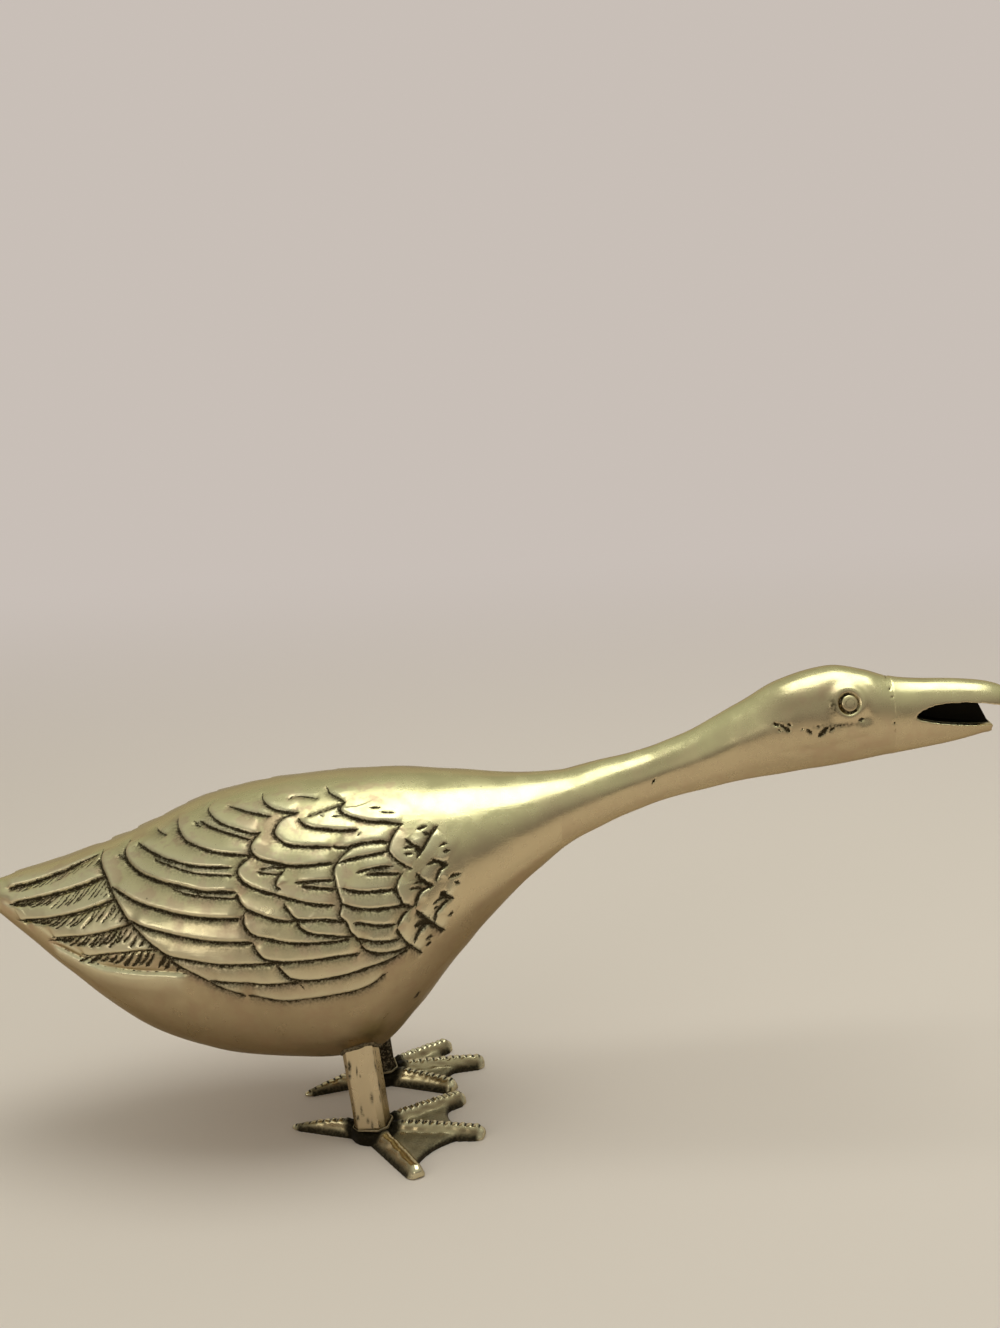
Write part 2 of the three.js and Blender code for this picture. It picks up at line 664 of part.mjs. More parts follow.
// Everything that comes in pairs, built for the right side and mirrored for the left
function flank(side, mirror, shapes) {
  const legPieces = framed(
    legFrame,
    piece(`${side}_leg`, shapes.leg, "cast"),
    piece(`${side}_belly_fillet`, shapes.bellyFillet, "filler"),
    piece(`${side}_ankle_fillet`, shapes.ankleFillet, "filler"),
  );
  const group = new THREE.Group();
  group.scale.y = mirror;
  return group.add(
    piece(`${side}_body_half`, shapes.bodyHalf, "polished"),
    framed(footFrame, piece(`${side}_foot`, geometryOf(foot(TOES[side])), "cast"), legPieces),
    framed(eyeInWorld, piece(`${side}_eye_stud`, shapes.eyeStud, "polished")),
  );
}

// The origin lies under the middle of the overall length and width: one foot reaches out further
function centred(group) {
  const middle = new THREE.Box3().setFromObject(group, true).getCenter(new THREE.Vector3());
  group.position.set(-middle.x, -middle.y, 0);
  return group;
}

function goose() {
  const belly = bellyForLeg(CLEARANCE);
  const shapes = {
    bodyHalf: geometryOf(rightBodyHalf()),
    leg: geometryOf(leg(belly)),
    bellyFillet: geometryOf(bellyFillet(belly)),
    ankleFillet: geometryOf(ankleFillet()),
    eyeStud: eyeStud(),
  };
  const group = new THREE.Group();
  group.add(flank("right", 1, shapes), flank("left", -1, shapes));
  group.add(piece("neck_and_head", geometryOf(neckAndHead()), "polished"));
  group.add(piece("beak", geometryOf(beak()), "polished"));
  return centred(group);
}

export default goose();
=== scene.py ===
"""Studio scene of a cast brass goose: chased feathers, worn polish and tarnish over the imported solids."""
import math

import bpy
import numpy as np
from mathutils import Matrix, Vector


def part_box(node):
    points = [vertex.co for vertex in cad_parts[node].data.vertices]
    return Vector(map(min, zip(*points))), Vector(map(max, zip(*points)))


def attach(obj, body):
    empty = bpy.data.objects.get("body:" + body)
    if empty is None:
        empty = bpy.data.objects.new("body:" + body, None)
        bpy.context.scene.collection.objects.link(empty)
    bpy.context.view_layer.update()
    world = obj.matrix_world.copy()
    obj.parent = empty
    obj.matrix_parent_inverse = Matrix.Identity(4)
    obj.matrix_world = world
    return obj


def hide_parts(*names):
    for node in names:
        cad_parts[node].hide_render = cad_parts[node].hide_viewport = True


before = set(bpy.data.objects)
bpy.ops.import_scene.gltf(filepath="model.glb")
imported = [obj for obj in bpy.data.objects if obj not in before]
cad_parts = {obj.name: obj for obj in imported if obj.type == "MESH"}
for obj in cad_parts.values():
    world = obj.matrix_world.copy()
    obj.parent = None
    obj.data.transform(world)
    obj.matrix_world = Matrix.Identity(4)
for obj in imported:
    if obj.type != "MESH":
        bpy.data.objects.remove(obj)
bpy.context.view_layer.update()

MM = 0.001


def box_mm(node):
    return [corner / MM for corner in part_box(node)]


# Joints between the castings and the goose's middle plane, as packed
SEAM_Y = box_mm("right_body_half")[1].y
TAIL_X = box_mm("right_body_half")[0].x
NECK_X = box_mm("right_body_half")[1].x
BEAK_X = box_mm("neck_and_head")[1].x
TIP_X = box_mm("beak")[1].x

# Driving dimensions of the castings
BODY_LENGTH = NECK_X - TAIL_X
BODY_HEIGHT = 82
BODY_WIDTH = 71
BELLY_CLEARANCE = 20.2
NECK_LENGTH = BEAK_X - NECK_X
NECK_DIAMETER = 16.2
CROWN_HEIGHT = box_mm("neck_and_head")[1].z - 0.1
HEAD_HEIGHT = 28.5
HEAD_WIDTH = 22.4
HEAD_MIDDLE = CROWN_HEIGHT - HEAD_HEIGHT / 2
BEAK_LENGTH = TIP_X - BEAK_X
BEAK_HEIGHT = 22
BEAK_WIDTH = 17

# Upright sections of the body: share of its length, ridge and keel as shares of its height, share of width
BODY_PROFILE = [
    (0, 0.66, 0.63, 0.03),
    (0.05, 0.69, 0.56, 0.17),
    (0.16, 0.747, 0.352, 0.455),
    (0.28, 0.83, 0.153, 0.725),
    (0.4, 0.934, 0.046, 0.9),
    (0.52, 0.982, 0.006, 0.99),
    (0.62, 0.997, 0, 1),
    (0.68, 1, 0.03, 0.965),
    (0.74, 0.998, 0.15, 0.875),
    (0.82, 0.983, 0.345, 0.7),
    (0.91, 0.963, 0.538, 0.49),
    (1, 0.962, 0.688, 0.325),
]

# Sections of the neck and head: share of the length, share of the rise to the head, height and width
NECK_PROFILE = [
    (0.08, 0.13, 1.22 * NECK_DIAMETER, 1.25 * NECK_DIAMETER),
    (0.27, 0.37, 1.02 * NECK_DIAMETER, NECK_DIAMETER),
    (0.4, 0.53, 1.1 * NECK_DIAMETER, 1.01 * NECK_DIAMETER),
    (0.54, 0.73, 0.775 * HEAD_HEIGHT, 0.82 * HEAD_WIDTH),
    (0.67, 0.9, 0.945 * HEAD_HEIGHT, 0.945 * HEAD_WIDTH),
    (0.81, 1, HEAD_HEIGHT, HEAD_WIDTH),
    (0.92, 1, 0.9 * HEAD_HEIGHT, 0.9 * HEAD_WIDTH),
    (1, 0.97, BEAK_HEIGHT, BEAK_WIDTH),
]

# Sections of the closed beak, in the same terms, before the mouth is cut
BEAK_PROFILE = [
    (0.21, 0.97, 0.91 * BEAK_HEIGHT, 0.88 * BEAK_WIDTH),
    (0.5, 0.99, 0.81 * BEAK_HEIGHT, 0.81 * BEAK_WIDTH),
    (0.74, 1.01, 0.68 * BEAK_HEIGHT, 0.73 * BEAK_WIDTH),
    (0.88, 1.01, 0.56 * BEAK_HEIGHT, 0.58 * BEAK_WIDTH),
    (1, 1.08, 0.2 * BEAK_HEIGHT, 0.19 * BEAK_WIDTH),
]

# Mouth, from the beak joint and the middle of the head
MOUTH_CORNER = 5.4
MOUTH_HEIGHT = 6.9
JAW_LENGTH = 27.5
# A dark web left across the middle of the mouth stands in for the shade inside it
PALATE_WEB = 2.4

# Eyes
EYE_ALONG = 79.8
EYE_ABOVE = 5.9
EYE_STUD_RADIUS = 2.2
EYE_SOCKET_RADIUS = 3
EYE_SOCKET_DEPTH = 0.6
EYELID_RADIUS = 4.2
EYELID_HEIGHT = 0.4

# Legs and feet
LEG_FROM_TAIL = 109.5
LEG_SPREAD = 35
TOE_OUT = 11
FOOT_REACH = 32
HUB_RADIUS = 6.4
TOE_NOSE = 1.6
TOE_TOOTH_PITCH = 2
FOOT_LUMPS = 0.09

# Toes of each foot: degrees from its axis, positive to the inside, share of the reach, and of its teeth left
TOES = {
    "right": [(-51, 0.91, 0), (3, 1, 1), (46, 0.97, 1), (175, 0.78, 1)],
    "left": [(-30, 0.86, 1), (2, 1, 1), (36, 0.8, 1), (169, 0.75, 1)],
}

# The flank is drawn unrolled: millimetres along the body, and up the skin from its widest line
UNROLL = 38

# Half-widths of a cut line beyond which nothing is drawn
LINE_REACH = 8

# A chased line, in millimetres: its wander, the run-in of its step, and how the step falls off beside it
LINE_WANDER = 0.06
STEP_RUN_IN = 4
STEP_BLEND = 0.3
TUCK_REACH = 1.8
GROOVE_LEAST = 0.45
# Reach of the tarnish beside a step; below the step it also stands in as painted shade
TARNISH_ABOVE = 0.5
TARNISH_AND_SHADE_BELOW = 1.4

# How each kind of line is cut, in the terms of Relief.cut
LONG_EDGE = dict(width=0.22, depth=0.25, step=0.68, dark=0.95, soft=1.6, shade=2.6)
BACK_EDGE = dict(width=0.2, depth=0.2, step=0.34, shade=2.6)
INNER_LINE = dict(width=0.16, depth=0.25, step=0.15, dark=0.8)
COVERT_EDGE = dict(width=0.22, depth=0.2, step=0.42, dark=0.95, shade=1.6)
ROW_END = dict(width=0.16, depth=0.2, step=0.32, dark=0.85)
SCALE_EDGE = dict(width=0.24, depth=0.25, step=0.35, dark=0.9)
CHISEL_CUT = dict(width=0.42, depth=0.3, taper=1.5)
ODD_CUT = dict(width=0.26, depth=0.2, taper=1.5)
TAIL_EDGE = dict(width=0.18, depth=0.3, step=0.8, dark=0.2, soft=1, rub_and_highlight=5)
TAIL_LIP = dict(width=0.02, depth=0, step=0.75, dark=0.1, soft=1.6, rub_and_highlight=3)
POCKET_DEPTH = 0.4

# Start and end of each fade over the flank: worn spine, washed wing, breast browned by tarnish and painted
# shade, and the dull rear and belly, whose dull share also paints shade on downward faces
SPINE_WEAR = (43, 57)
WASH_REAR = (-112, -100)
WASH_FRONT = (-26, -12)
WASH_LOW = (-9, -3)
BELLY = (-28, -6)
BROWN_REAR = (-38, -22)
BROWN_FRONT = (-6, 8)
DULL_AND_SHADE_FRONT = (-30, -8)
DULL_AND_SHADE_SPINE = (44, 56)

# Mesh spacing of the pieces that are remeshed
BEAK_VOXEL = 0.25
FOOT_VOXEL = 0.3
BAR_VOXEL = 0.2

# Mesh spacing of the castings: start, end and spacing, finer where the chasing lies
QUARTER = math.pi / 2 * UNROLL
BODY_SPANS = [(TAIL_X, -135, 1.2), (-135, -108, 0.38), (-108, -68, 0.5), (-68, -27, 0.34), (-27, -7, 0.22),
              (-7, NECK_X, 0.9)]
FLANK_SPANS = [(-QUARTER, -33, 2.4), (-33, -27, 0.45), (-27, -14, 2), (-14, -6, 0.5), (-6, 44, 0.33),
               (44, 57, 0.5), (57, QUARTER, 0.7)]
HEAD_SPANS = [(NECK_X, 44, 0.8), (44, 48, 0.3), (48, 76, 0.8), (76, 94, 0.35), (94, 106, 0.16),
              (106, BEAK_X, 0.35)]

# Rear and lower rim of the folded wing
WING_RIM = [
    [(-108, 53), (-108, 46), (-107.2, 40), (-105.3, 33), (-103, 25), (-100.7, 19.3), (-98.4, 14.5),
     (-94.8, 9.8), (-90.3, 4.8), (-85.3, -0.2), (-79, -3.7), (-73.5, -6.9), (-67, -9.2)],
    [(-67, -8.8), (-62, -9.8), (-57, -10.7), (-50, -10.4), (-42, -9.8), (-36, -9.6), (-29, -9)],
]

# Lower edges of the long flight feathers, tip first: the feather lies to the left of its edge
FLIGHT_FEATHERS = [
    [(-99.6, 53), (-100.7, 47), (-100.2, 42), (-98.7, 37.4), (-95.6, 32.2), (-91.7, 28.4), (-87.6, 25.4),
     (-82.8, 23), (-77.3, 20.7), (-72, 20), (-67.4, 19.4)],
    [(-103.4, 28.6), (-98.9, 23.8), (-94.2, 20), (-87, 16.2), (-81.4, 14.2), (-75, 13), (-66.6, 12.3)],
    [(-98.2, 15.3), (-94.2, 12.6), (-88.4, 10.1), (-82, 8), (-75, 6.7), (-63.6, 6)],
    [(-90, 4.4), (-86, 2.5), (-80.1, 1.3), (-74, 0.4), (-66, 0.2), (-58, 0.3)],
    [(-77, -4.2), (-70.8, -4.8), (-61.1, -5.4), (-52.6, -5.2)],
]

# Edges of the shorter feathers behind the shoulder, which climb towards the spine
BACK_FEATHERS = [
    [(-96.9, 47), (-95.3, 43.6), (-92, 38.6), (-88.4, 34.4), (-84, 31), (-80, 28.8), (-75, 27.4),
     (-68.5, 26.3)],
    [(-92.5, 56), (-92, 51.5), (-90.5, 47.5), (-88, 43.5)],
    [(-85.4, 56), (-85.7, 50), (-85, 44.7), (-82.8, 39.1), (-80.1, 36), (-75.6, 32.7), (-71, 30.8),
     (-63.3, 29.2)],
    [(-79, 45.3), (-76.2, 41.9), (-72.3, 38.7), (-69.4, 36.9), (-63.9, 33.9)],
    [(-74.8, 55.5), (-76.8, 51), (-76.3, 47.5), (-73.4, 42.4), (-69.4, 39.1), (-64.4, 36.3), (-61.2, 35.9)],
    [(-71.9, 49.6), (-67.2, 45.8), (-62.8, 43), (-58.3, 40.7)],
    [(-61.7, 53), (-61.5, 49), (-59.7, 45.2), (-56.7, 42.8), (-53, 41.4), (-50.8, 41.1)],
    [(-44, 51.5), (-43, 48), (-41.2, 46), (-38.6, 43.3)],
]

# Second lines cut inside the broad feathers
INNER_LINES = [
    [(-91.5, 35.7), (-89, 33), (-84.2, 29.1), (-79.2, 26.3), (-74, 25), (-68.2, 23.9)],
    [(-86, 23.1), (-82, 20.8), (-77, 19.2), (-71, 18.1), (-67.2, 17.8)],
    [(-102.8, 44.7), (-101.4, 42.2), (-99.9, 40)],
    [(-80.6, 45.8), (-79.4, 43.6), (-78, 41.6)],
    [(-62.5, 24.3), (-59, 23.5), (-56, 23)],
    [(-61.8, 25), (-58.4, 25.1), (-54, 24.9)],
    [(-38.2, 43.4), (-41, 41.8), (-43.6, 40.8), (-46.4, 39.8), (-49.4, 39)],
    [(-54.4, 46.2), (-53, 48.4), (-48.8, 47.2), (-45.4, 45.6)],
]

# Coverts of the rearmost row: round the tip, then along the lower edge
REAR_COVERTS = [
    [(-51, 40.6), (-53.2, 40.4), (-55.4, 39.4), (-57, 37.4), (-57.6, 34.8), (-56, 32.6), (-53.8, 31),
     (-50.6, 30.2), (-46.2, 29.6), (-41.4, 29)],
    [(-61.4, 35.9), (-63.3, 33.8), (-64.1, 31.5), (-63.3, 29.4), (-60.6, 27.4), (-56, 25.9),
     (-51, 24.8), (-41.2, 24.7)],
    [(-63.6, 29.1), (-66, 27.3), (-67.6, 25.2), (-66.4, 22.4), (-63, 20), (-57.2, 17.8), (-51, 15.7),
     (-46, 14.4), (-41.4, 13.8)],
    [(-67.6, 19.4), (-67.4, 17.6), (-65.6, 15), (-61.9, 13.1), (-57, 11.4), (-52.2, 10.7)],
    [(-66, 13.8), (-66.1, 11), (-64, 8), (-59.4, 6.6), (-54.2, 5.4), (-47, 4.9), (-37.6, 4.6)],
    [(-63.9, 6.2), (-63.4, 4.2), (-61.1, 1.7), (-57, 0.6), (-50, 0.5), (-42, 0.8), (-35.6, 0.5)],
    [(-58.5, 0.2), (-57, -1.5), (-54.2, -4.1), (-49, -4.9), (-42, -4.5), (-34, -4.1), (-28.3, -5.8),
     (-22.6, -7.5)],
]

# Coverts of the middle and front rows
MIDDLE_COVERTS = [
    [(-54.6, 24), (-56.6, 22), (-57.1, 20), (-55.5, 18.8)],
    [(-52.5, 20.5), (-47.2, 20.5), (-41.4, 20.2)],
    [(-50.8, 19.5), (-46, 18.7), (-40.8, 17.6)],
    [(-55.2, 15.6), (-54.2, 13.7), (-52.2, 11.4), (-50.4, 10.9), (-44.4, 10.5), (-38.6, 9.1)],
    [(-52.3, 10.9), (-50.8, 8.8), (-48.3, 7.4), (-44.4, 6.6), (-37.3, 5.2)],
    [(-51.3, 39.4), (-50, 37.2), (-47.6, 35.6), (-43, 34.4), (-38.3, 33.4), (-34.6, 33.1)],
]
FRONT_COVERTS = [
    [(-38.2, 43.2), (-39.4, 42), (-39.8, 40.2), (-38.3, 38.5), (-35.3, 36.7), (-31, 34.9), (-27, 33.7),
     (-22.6, 31.5)],
    [(-42.2, 29.4), (-38.5, 28.5), (-33.3, 28.9), (-29, 28.1), (-26.3, 27)],
    [(-40.8, 24), (-39.2, 24.7), (-33.9, 25.2), (-27, 24.5)],
    [(-36, 21.1), (-33.1, 21.4), (-29, 20.7), (-25.4, 19.4)],
    [(-33.6, 20.2), (-29, 19), (-23.7, 16.5)],
    [(-40.2, 18), (-36, 16.4), (-30, 14.6), (-25.7, 12.8)],
    [(-40.3, 14.3), (-37, 12.5), (-31.9, 10.6), (-27, 8.6), (-23.3, 6.9), (-21.6, 5.1)],
    [(-37.4, 8.7), (-34.4, 7.8), (-29.5, 5.1), (-25.6, 3)],
    [(-36.4, 4.6), (-33.1, 2.8), (-28.5, 0.1), (-25.1, -1.8)],
    [(-35.6, 2.9), (-34.2, 0.8), (-31, -1.7), (-26.9, -4.2), (-22.6, -6.8)],
]

# Zigzag ends between the rows of coverts
ROW_ENDS = [
    [(-36.5, 28.2), (-39.3, 26.1), (-41.5, 23), (-41.4, 20.4), (-40.7, 17), (-39.8, 13.6), (-40.5, 11),
     (-38.8, 9), (-38, 6.8), (-36.4, 4.6), (-35, 2.2)],
    [(-23.6, 31.6), (-25.6, 28.8), (-26.9, 25), (-25.6, 22), (-22.8, 18.5), (-20.4, 16)],
    [(-23.2, 16.8), (-25, 14.2), (-25.2, 12.4), (-24.4, 9.6), (-23.2, 6.8), (-20.6, 4.4)],
    [(-25.9, 2.4), (-25.3, 0), (-23.3, -5), (-21.6, -8.4), (-19.4, -13.4)],
]

# Criss-cross scales on the shoulder
SHOULDER_SCALES = [
    [(-22.6, 26.8), (-20.2, 23.8), (-18, 21)],
    [(-13.4, 28), (-15.2, 25.6), (-17.4, 21.6), (-19.8, 18.6)],
    [(-20, 14.8), (-18.2, 11.2), (-15.4, 7)],
    [(-15.8, 16.8), (-13.6, 14.4), (-11.4, 11.4)],
    [(-11.4, 11.4), (-13.4, 10.8), (-14.8, 7.6)],
    [(-15.4, 7), (-17.4, 7.6), (-19.2, 7.2), (-20.6, 3.8)],
    [(-14, 3.8), (-12.4, 1), (-10.2, -3)],
    [(-11.2, -1.8), (-12.6, -2), (-15, -3), (-15.8, -5.4)],
    [(-20.6, 3.6), (-18.6, -0.4), (-16.4, -5.4), (-13.2, -13.2)],
    [(-22, 4.8), (-24, 3.8), (-25.8, 2)],
    [(-15.8, -6), (-18.2, -4.4), (-20, -4.6), (-21.6, -7)],
]

# Leaf-shaped chisel cuts on the shoulder
CHISEL_CUTS = [
    [(-19.8, 28.6), (-18, 28.8), (-16.2, 28.8)],
    [(-17.8, 27.2), (-16.4, 25.8), (-15.2, 25.4)],
    [(-23.4, 23.8), (-21.6, 23.6), (-19.8, 22.8)],
    [(-23.2, 22), (-21.6, 21.4), (-20, 20.4)],
    [(-14, 19.8), (-12.6, 20), (-11, 19.6)],
    [(-13, 17.6), (-11.6, 17), (-10.4, 16.6)],
    [(-17.4, 15.2), (-15.8, 15.4), (-12.8, 14)],
    [(-22.4, 11), (-20.2, 10), (-18.2, 8.4)],
    [(-21.2, 11.8), (-19.2, 11.2), (-17.4, 9.8)],
    [(-11.6, 6.2), (-10.2, 6.4), (-7.8, 5)],
    [(-10.2, 4), (-9.2, 2.6), (-8.4, 1)],
    [(-16.4, 1.4), (-14.2, 1), (-12.4, 0)],
    [(-16, -0.2), (-15, -1), (-14.4, -1)],
    [(-12.8, -7.4), (-11.6, -8), (-10.4, -8.8)],
    [(-19, -8.8), (-17.6, -9.6), (-16.2, -11)],
    [(-18.8, -11.2), (-18, -11.8), (-16.8, -12.8)],
]

# Odd thin cuts over the wing
ODD_CUTS = [
    [(-53, -4.8), (-51, -7.6)],
    [(-33.8, 32.2), (-35.7, 30.8)],
    [(-54.6, 42), (-51, 41.1)],
    [(-65.2, 52), (-63.8, 51)],
    [(-45.6, 39.8), (-44.2, 38.2)],
    [(-42.6, 38.2), (-39.2, 38.4)],
    [(-32.4, 39.8), (-28.4, 39.2)],
    [(-29.6, 37.8), (-24.6, 36)],
    [(-29, 13.9), (-25.7, 12.6)],
    [(-38.6, 28.4), (-36.8, 28.5)],
    [(-57, 24.6), (-53.6, 24.9)],
    [(-63.4, 35.5), (-61.3, 36.1)],
]

# Dark pockets under the scales and a pit in the breast: the run and half-width of each
POCKETS = [
    ([(-18, 21.6), (-19, 21.2), (-19.8, 22.8)], 0.5),
    ([(-13, 11.4), (-12, 11.6), (-13.2, 13.6)], 0.55),
    ([(-17, 8.4), (-16, 7.6), (-17.4, 9.6)], 0.5),
    ([(-13.8, 3.6), (-12.8, 1.4), (-12, 0.4)], 0.6),
    ([(-21.4, -1), (-19.4, -2.4), (-17, -4.4)], 0.9),
    ([(-26.6, 13.8), (-25.7, 12.4), (-25.2, 11.2)], 0.5),
    ([(-23.2, -29.4), (-22.2, -30), (-21.2, -30.4)], 0.8),
]

# Tail feathers: each lower edge, its run on down the wing's rim, then the run, spacing and width of its barbs
TAIL_FEATHERS = [
    ([(-136, 29), (-132.5, 33.6), (-128.3, 36.8), (-123.3, 41.1), (-119.2, 44.2), (-115, 47.3), (-108.5, 51)],
     [(-108, 46), (-107, 41)], (-2.5, -9), 1.8, 0.15),
    ([(-133, 8), (-132.3, 14), (-127.5, 20.7), (-120.8, 26.5), (-111.7, 31.5), (-106, 34.8)],
     [(-104.5, 30), (-103, 26)], (-4, -10.5), 1.9, 0.17),
    ([(-131.4, -8), (-128.8, 0.3), (-122.5, 9), (-114.2, 16.1), (-105.4, 21.9), (-102, 23.8)],
     [(-100.7, 19.5), (-99, 16)], (-4, -9.5), 2.2, 0.21),
    ([(-122.5, -5.5), (-116.7, 1.5), (-109.2, 7.3), (-100, 12.8), (-97.8, 13.8)],
     [(-95, 10), (-92.5, 7)], (-4, -8), 2.2, 0.3),
    ([(-114.2, -6.8), (-110.8, -4.3), (-106.7, -0.6), (-102.5, 1.9), (-96, 4.2), (-89.6, 4.7)],
     [(-87, 1.6), (-84, -1.2)], (-3.5, -6.2), 2.5, 0.4),
]
TAIL_RIM = [(-82, -3.2), (-88, -2.8), (-95, -3.5), (-102.5, -5), (-107, -7), (-113, -8.6), (-124, -11.5)]

# Tips of the tail feathers, lightened as a painted highlight
TAIL_TIPS = [(-136.2, 7), (-128.8, 0.2), (-121.8, -3.8), (-115.8, -5), (-110.4, -6.4), (-102, -7),
             (-92, -4.2)]

# A pin hole in the neck, chisel marks on the cheek and pits round the beak joint: along, height and width
CHEEK_CUTS = [
    ([(45.7, 97.2), (46.3, 96.8)], 0.9),
    ([(78.9, 112.4), (80.4, 111.2)], 0.7),
    ([(80.4, 112.2), (82.2, 110.6), (83.6, 109.6)], 0.55),
    ([(82.4, 112), (84, 111.2)], 0.4),
    ([(79.8, 110.6), (81.2, 109.8)], 0.35),
    ([(86.4, 110.6), (87, 110.1)], 0.45),
    ([(87.6, 110.6), (89.4, 108.7)], 0.4),
    ([(90.4, 111.2), (91.6, 110.6)], 0.4),
    ([(93.6, 110.9), (92.6, 109.4), (90.8, 107.8)], 0.65),
    ([(95.4, 110.6), (94, 109)], 0.45),
    ([(96.8, 110.9), (97.4, 110.6)], 0.35),
    ([(98.6, 111.2), (99.4, 110.8)], 0.3),
    ([(102, 111.6), (104, 112.2)], 0.5),
    ([(111.5, 119.2), (112.1, 118.7)], 0.4),
    ([(111.9, 117.2), (112.3, 116.6)], 0.3),
    ([(111.4, 121.6), (111.9, 121.3)], 0.25),
    ([(112.2, 110.4), (112.6, 109.6)], 0.35),
    ([(112.6, 108.4), (112.8, 107)], 0.25),
]
CHEEK_CREASE = [(104, 107.2), (98, 105.4), (90, 104.2), (80, 103.4)]
CHEEK_BUMP = (103.6, 109.6)
# Centre of the painted shade in the hollow beside the eye
EYE_HOLLOW_SHADE = (95.2, 116)
CHEEK_SMEAR = (96.5, 110.8)

rng = np.random.default_rng(12)


def stations():
    rows = [
        (
            TAIL_X + along * BODY_LENGTH,
            BELLY_CLEARANCE + ridge * BODY_HEIGHT,
            BELLY_CLEARANCE + keel * BODY_HEIGHT,
            width * BODY_WIDTH / 2,
        )
        for along, ridge, keel, width in BODY_PROFILE
    ]
    base = (rows[-1][1] + rows[-1][2]) / 2
    for profile, start, length in (NECK_PROFILE, NECK_X, NECK_LENGTH), (BEAK_PROFILE, BEAK_X, BEAK_LENGTH):
        for along, rise, height, width in profile:
            middle = base + rise * (HEAD_MIDDLE - base)
            rows.append((start + along * length, middle + height / 2, middle - height / 2, width / 2))
    return np.array(rows)


STATIONS = stations()


def station_slopes():
    before = STATIONS[np.maximum(np.arange(len(STATIONS)) - 1, 0)]
    after = STATIONS[np.minimum(np.arange(len(STATIONS)) + 1, len(STATIONS) - 1)]
    return (after[:, 1:] - before[:, 1:]) / (after[:, :1] - before[:, :1])


SLOPES = station_slopes()


def section(x):
    """Middle height, half height and half width at each x: a cubic through the stations."""
    x = np.asarray(x, float)
    knots = STATIONS[:, 0]
    after = np.clip(np.searchsorted(knots, x), 1, len(knots) - 1)
    run = (knots[after] - knots[after - 1])[:, None]
    t = np.clip((x - knots[after - 1])[:, None] / run, 0, 1)
    bend = (2 * t - 3) * t * t + 1
    start = bend * STATIONS[after - 1, 1:] + ((t - 2) * t + 1) * t * run * SLOPES[after - 1]
    ridge, keel, half = (start + (1 - bend) * STATIONS[after, 1:] + (t - 1) * t * t * run * SLOPES[after]).T
    return (ridge + keel) / 2, (ridge - keel) / 2, half


def skin(x, angle):
    """Points and outward normals of the smooth castings on a grid.

    The angle is zero on the right side and a quarter turn on the ridge."""
    step = 0.05
    middle, high, half = (row[:, None] for row in section(x))
    behind, before = section(x - step), section(x + step)
    middle_slope, high_slope, half_slope = ((b - a)[:, None] / (2 * step) for a, b in zip(behind, before))
    cos, sin = np.cos(angle)[None, :], np.sin(angle)[None, :]
    flat = np.zeros((len(x), len(angle)))
    points = np.stack([flat + x[:, None], -half * cos, middle + high * sin], -1)
    along = np.stack([flat + 1, -half_slope * cos, middle_slope + high_slope * sin], -1)
    around = np.stack([flat, half * sin, high * cos], -1)
    normals = np.cross(along, around)
    return points, normals / np.linalg.norm(normals, axis=-1, keepdims=True)


def bell(value, width):
    return np.exp(-((value / width) ** 2))


def smoothstep(low, high, value):
    t = np.clip((value - low) / (high - low), 0, 1)
    return t * t * (3 - 2 * t)


def graded(*spans):
    """Values from one span to the next, each (start, end, spacing)."""
    parts = []
    for start, end, spacing in spans:
        parts.append(np.linspace(start, end, math.ceil((end - start) / spacing), endpoint=False))
    return np.append(np.concatenate(parts), spans[-1][1])


def smooth_path(points, spacing=0.6):
    """Evenly drawn curve through a few points."""
    points = np.array(points, float)
    ends = np.concatenate([[2 * points[0] - points[1]], points, [2 * points[-1] - points[-2]]])
    drawn = [points[:1]]
    for a, b, c, d in zip(ends, ends[1:], ends[2:], ends[3:]):
        t = np.linspace(0, 1, 1 + math.ceil(np.linalg.norm(c - b) / spacing))[1:, None]
        drawn.append(b + 0.5 * t * (c - a + t * (2 * a - 5 * b + 4 * c - d + t * (3 * (b - c) + d - a))))
    return np.concatenate(drawn)


def to_path(u, v, scale, path):
    """Distance of each point to a path, positive to its left, with the place along it and its whole length.

    The scale turns heights in the drawing into millimetres where the body is slimmer."""
    best = np.full(len(u), np.inf)
    signed = np.zeros(len(u))
    along = np.zeros(len(u))
    travelled = 0
    for (au, av), (bu, bv) in zip(path, path[1:]):
        du, dv = bu - au, bv - av
        length = math.hypot(du, dv)
        square = scale * scale
        t = np.clip(((u - au) * du + square * (v - av) * dv) / (du * du + square * dv * dv), 0, 1)
        distance = np.hypot(u - au - t * du, scale * (v - av - t * dv))
        closer = distance < best
        best[closer] = distance[closer]
        side = np.where(du * (v - av) - dv * (u - au) > 0, 1, -1)
        signed[closer] = (distance * side)[closer]
        along[closer] = (travelled + t * length)[closer]
        travelled += length
    return signed, along, travelled


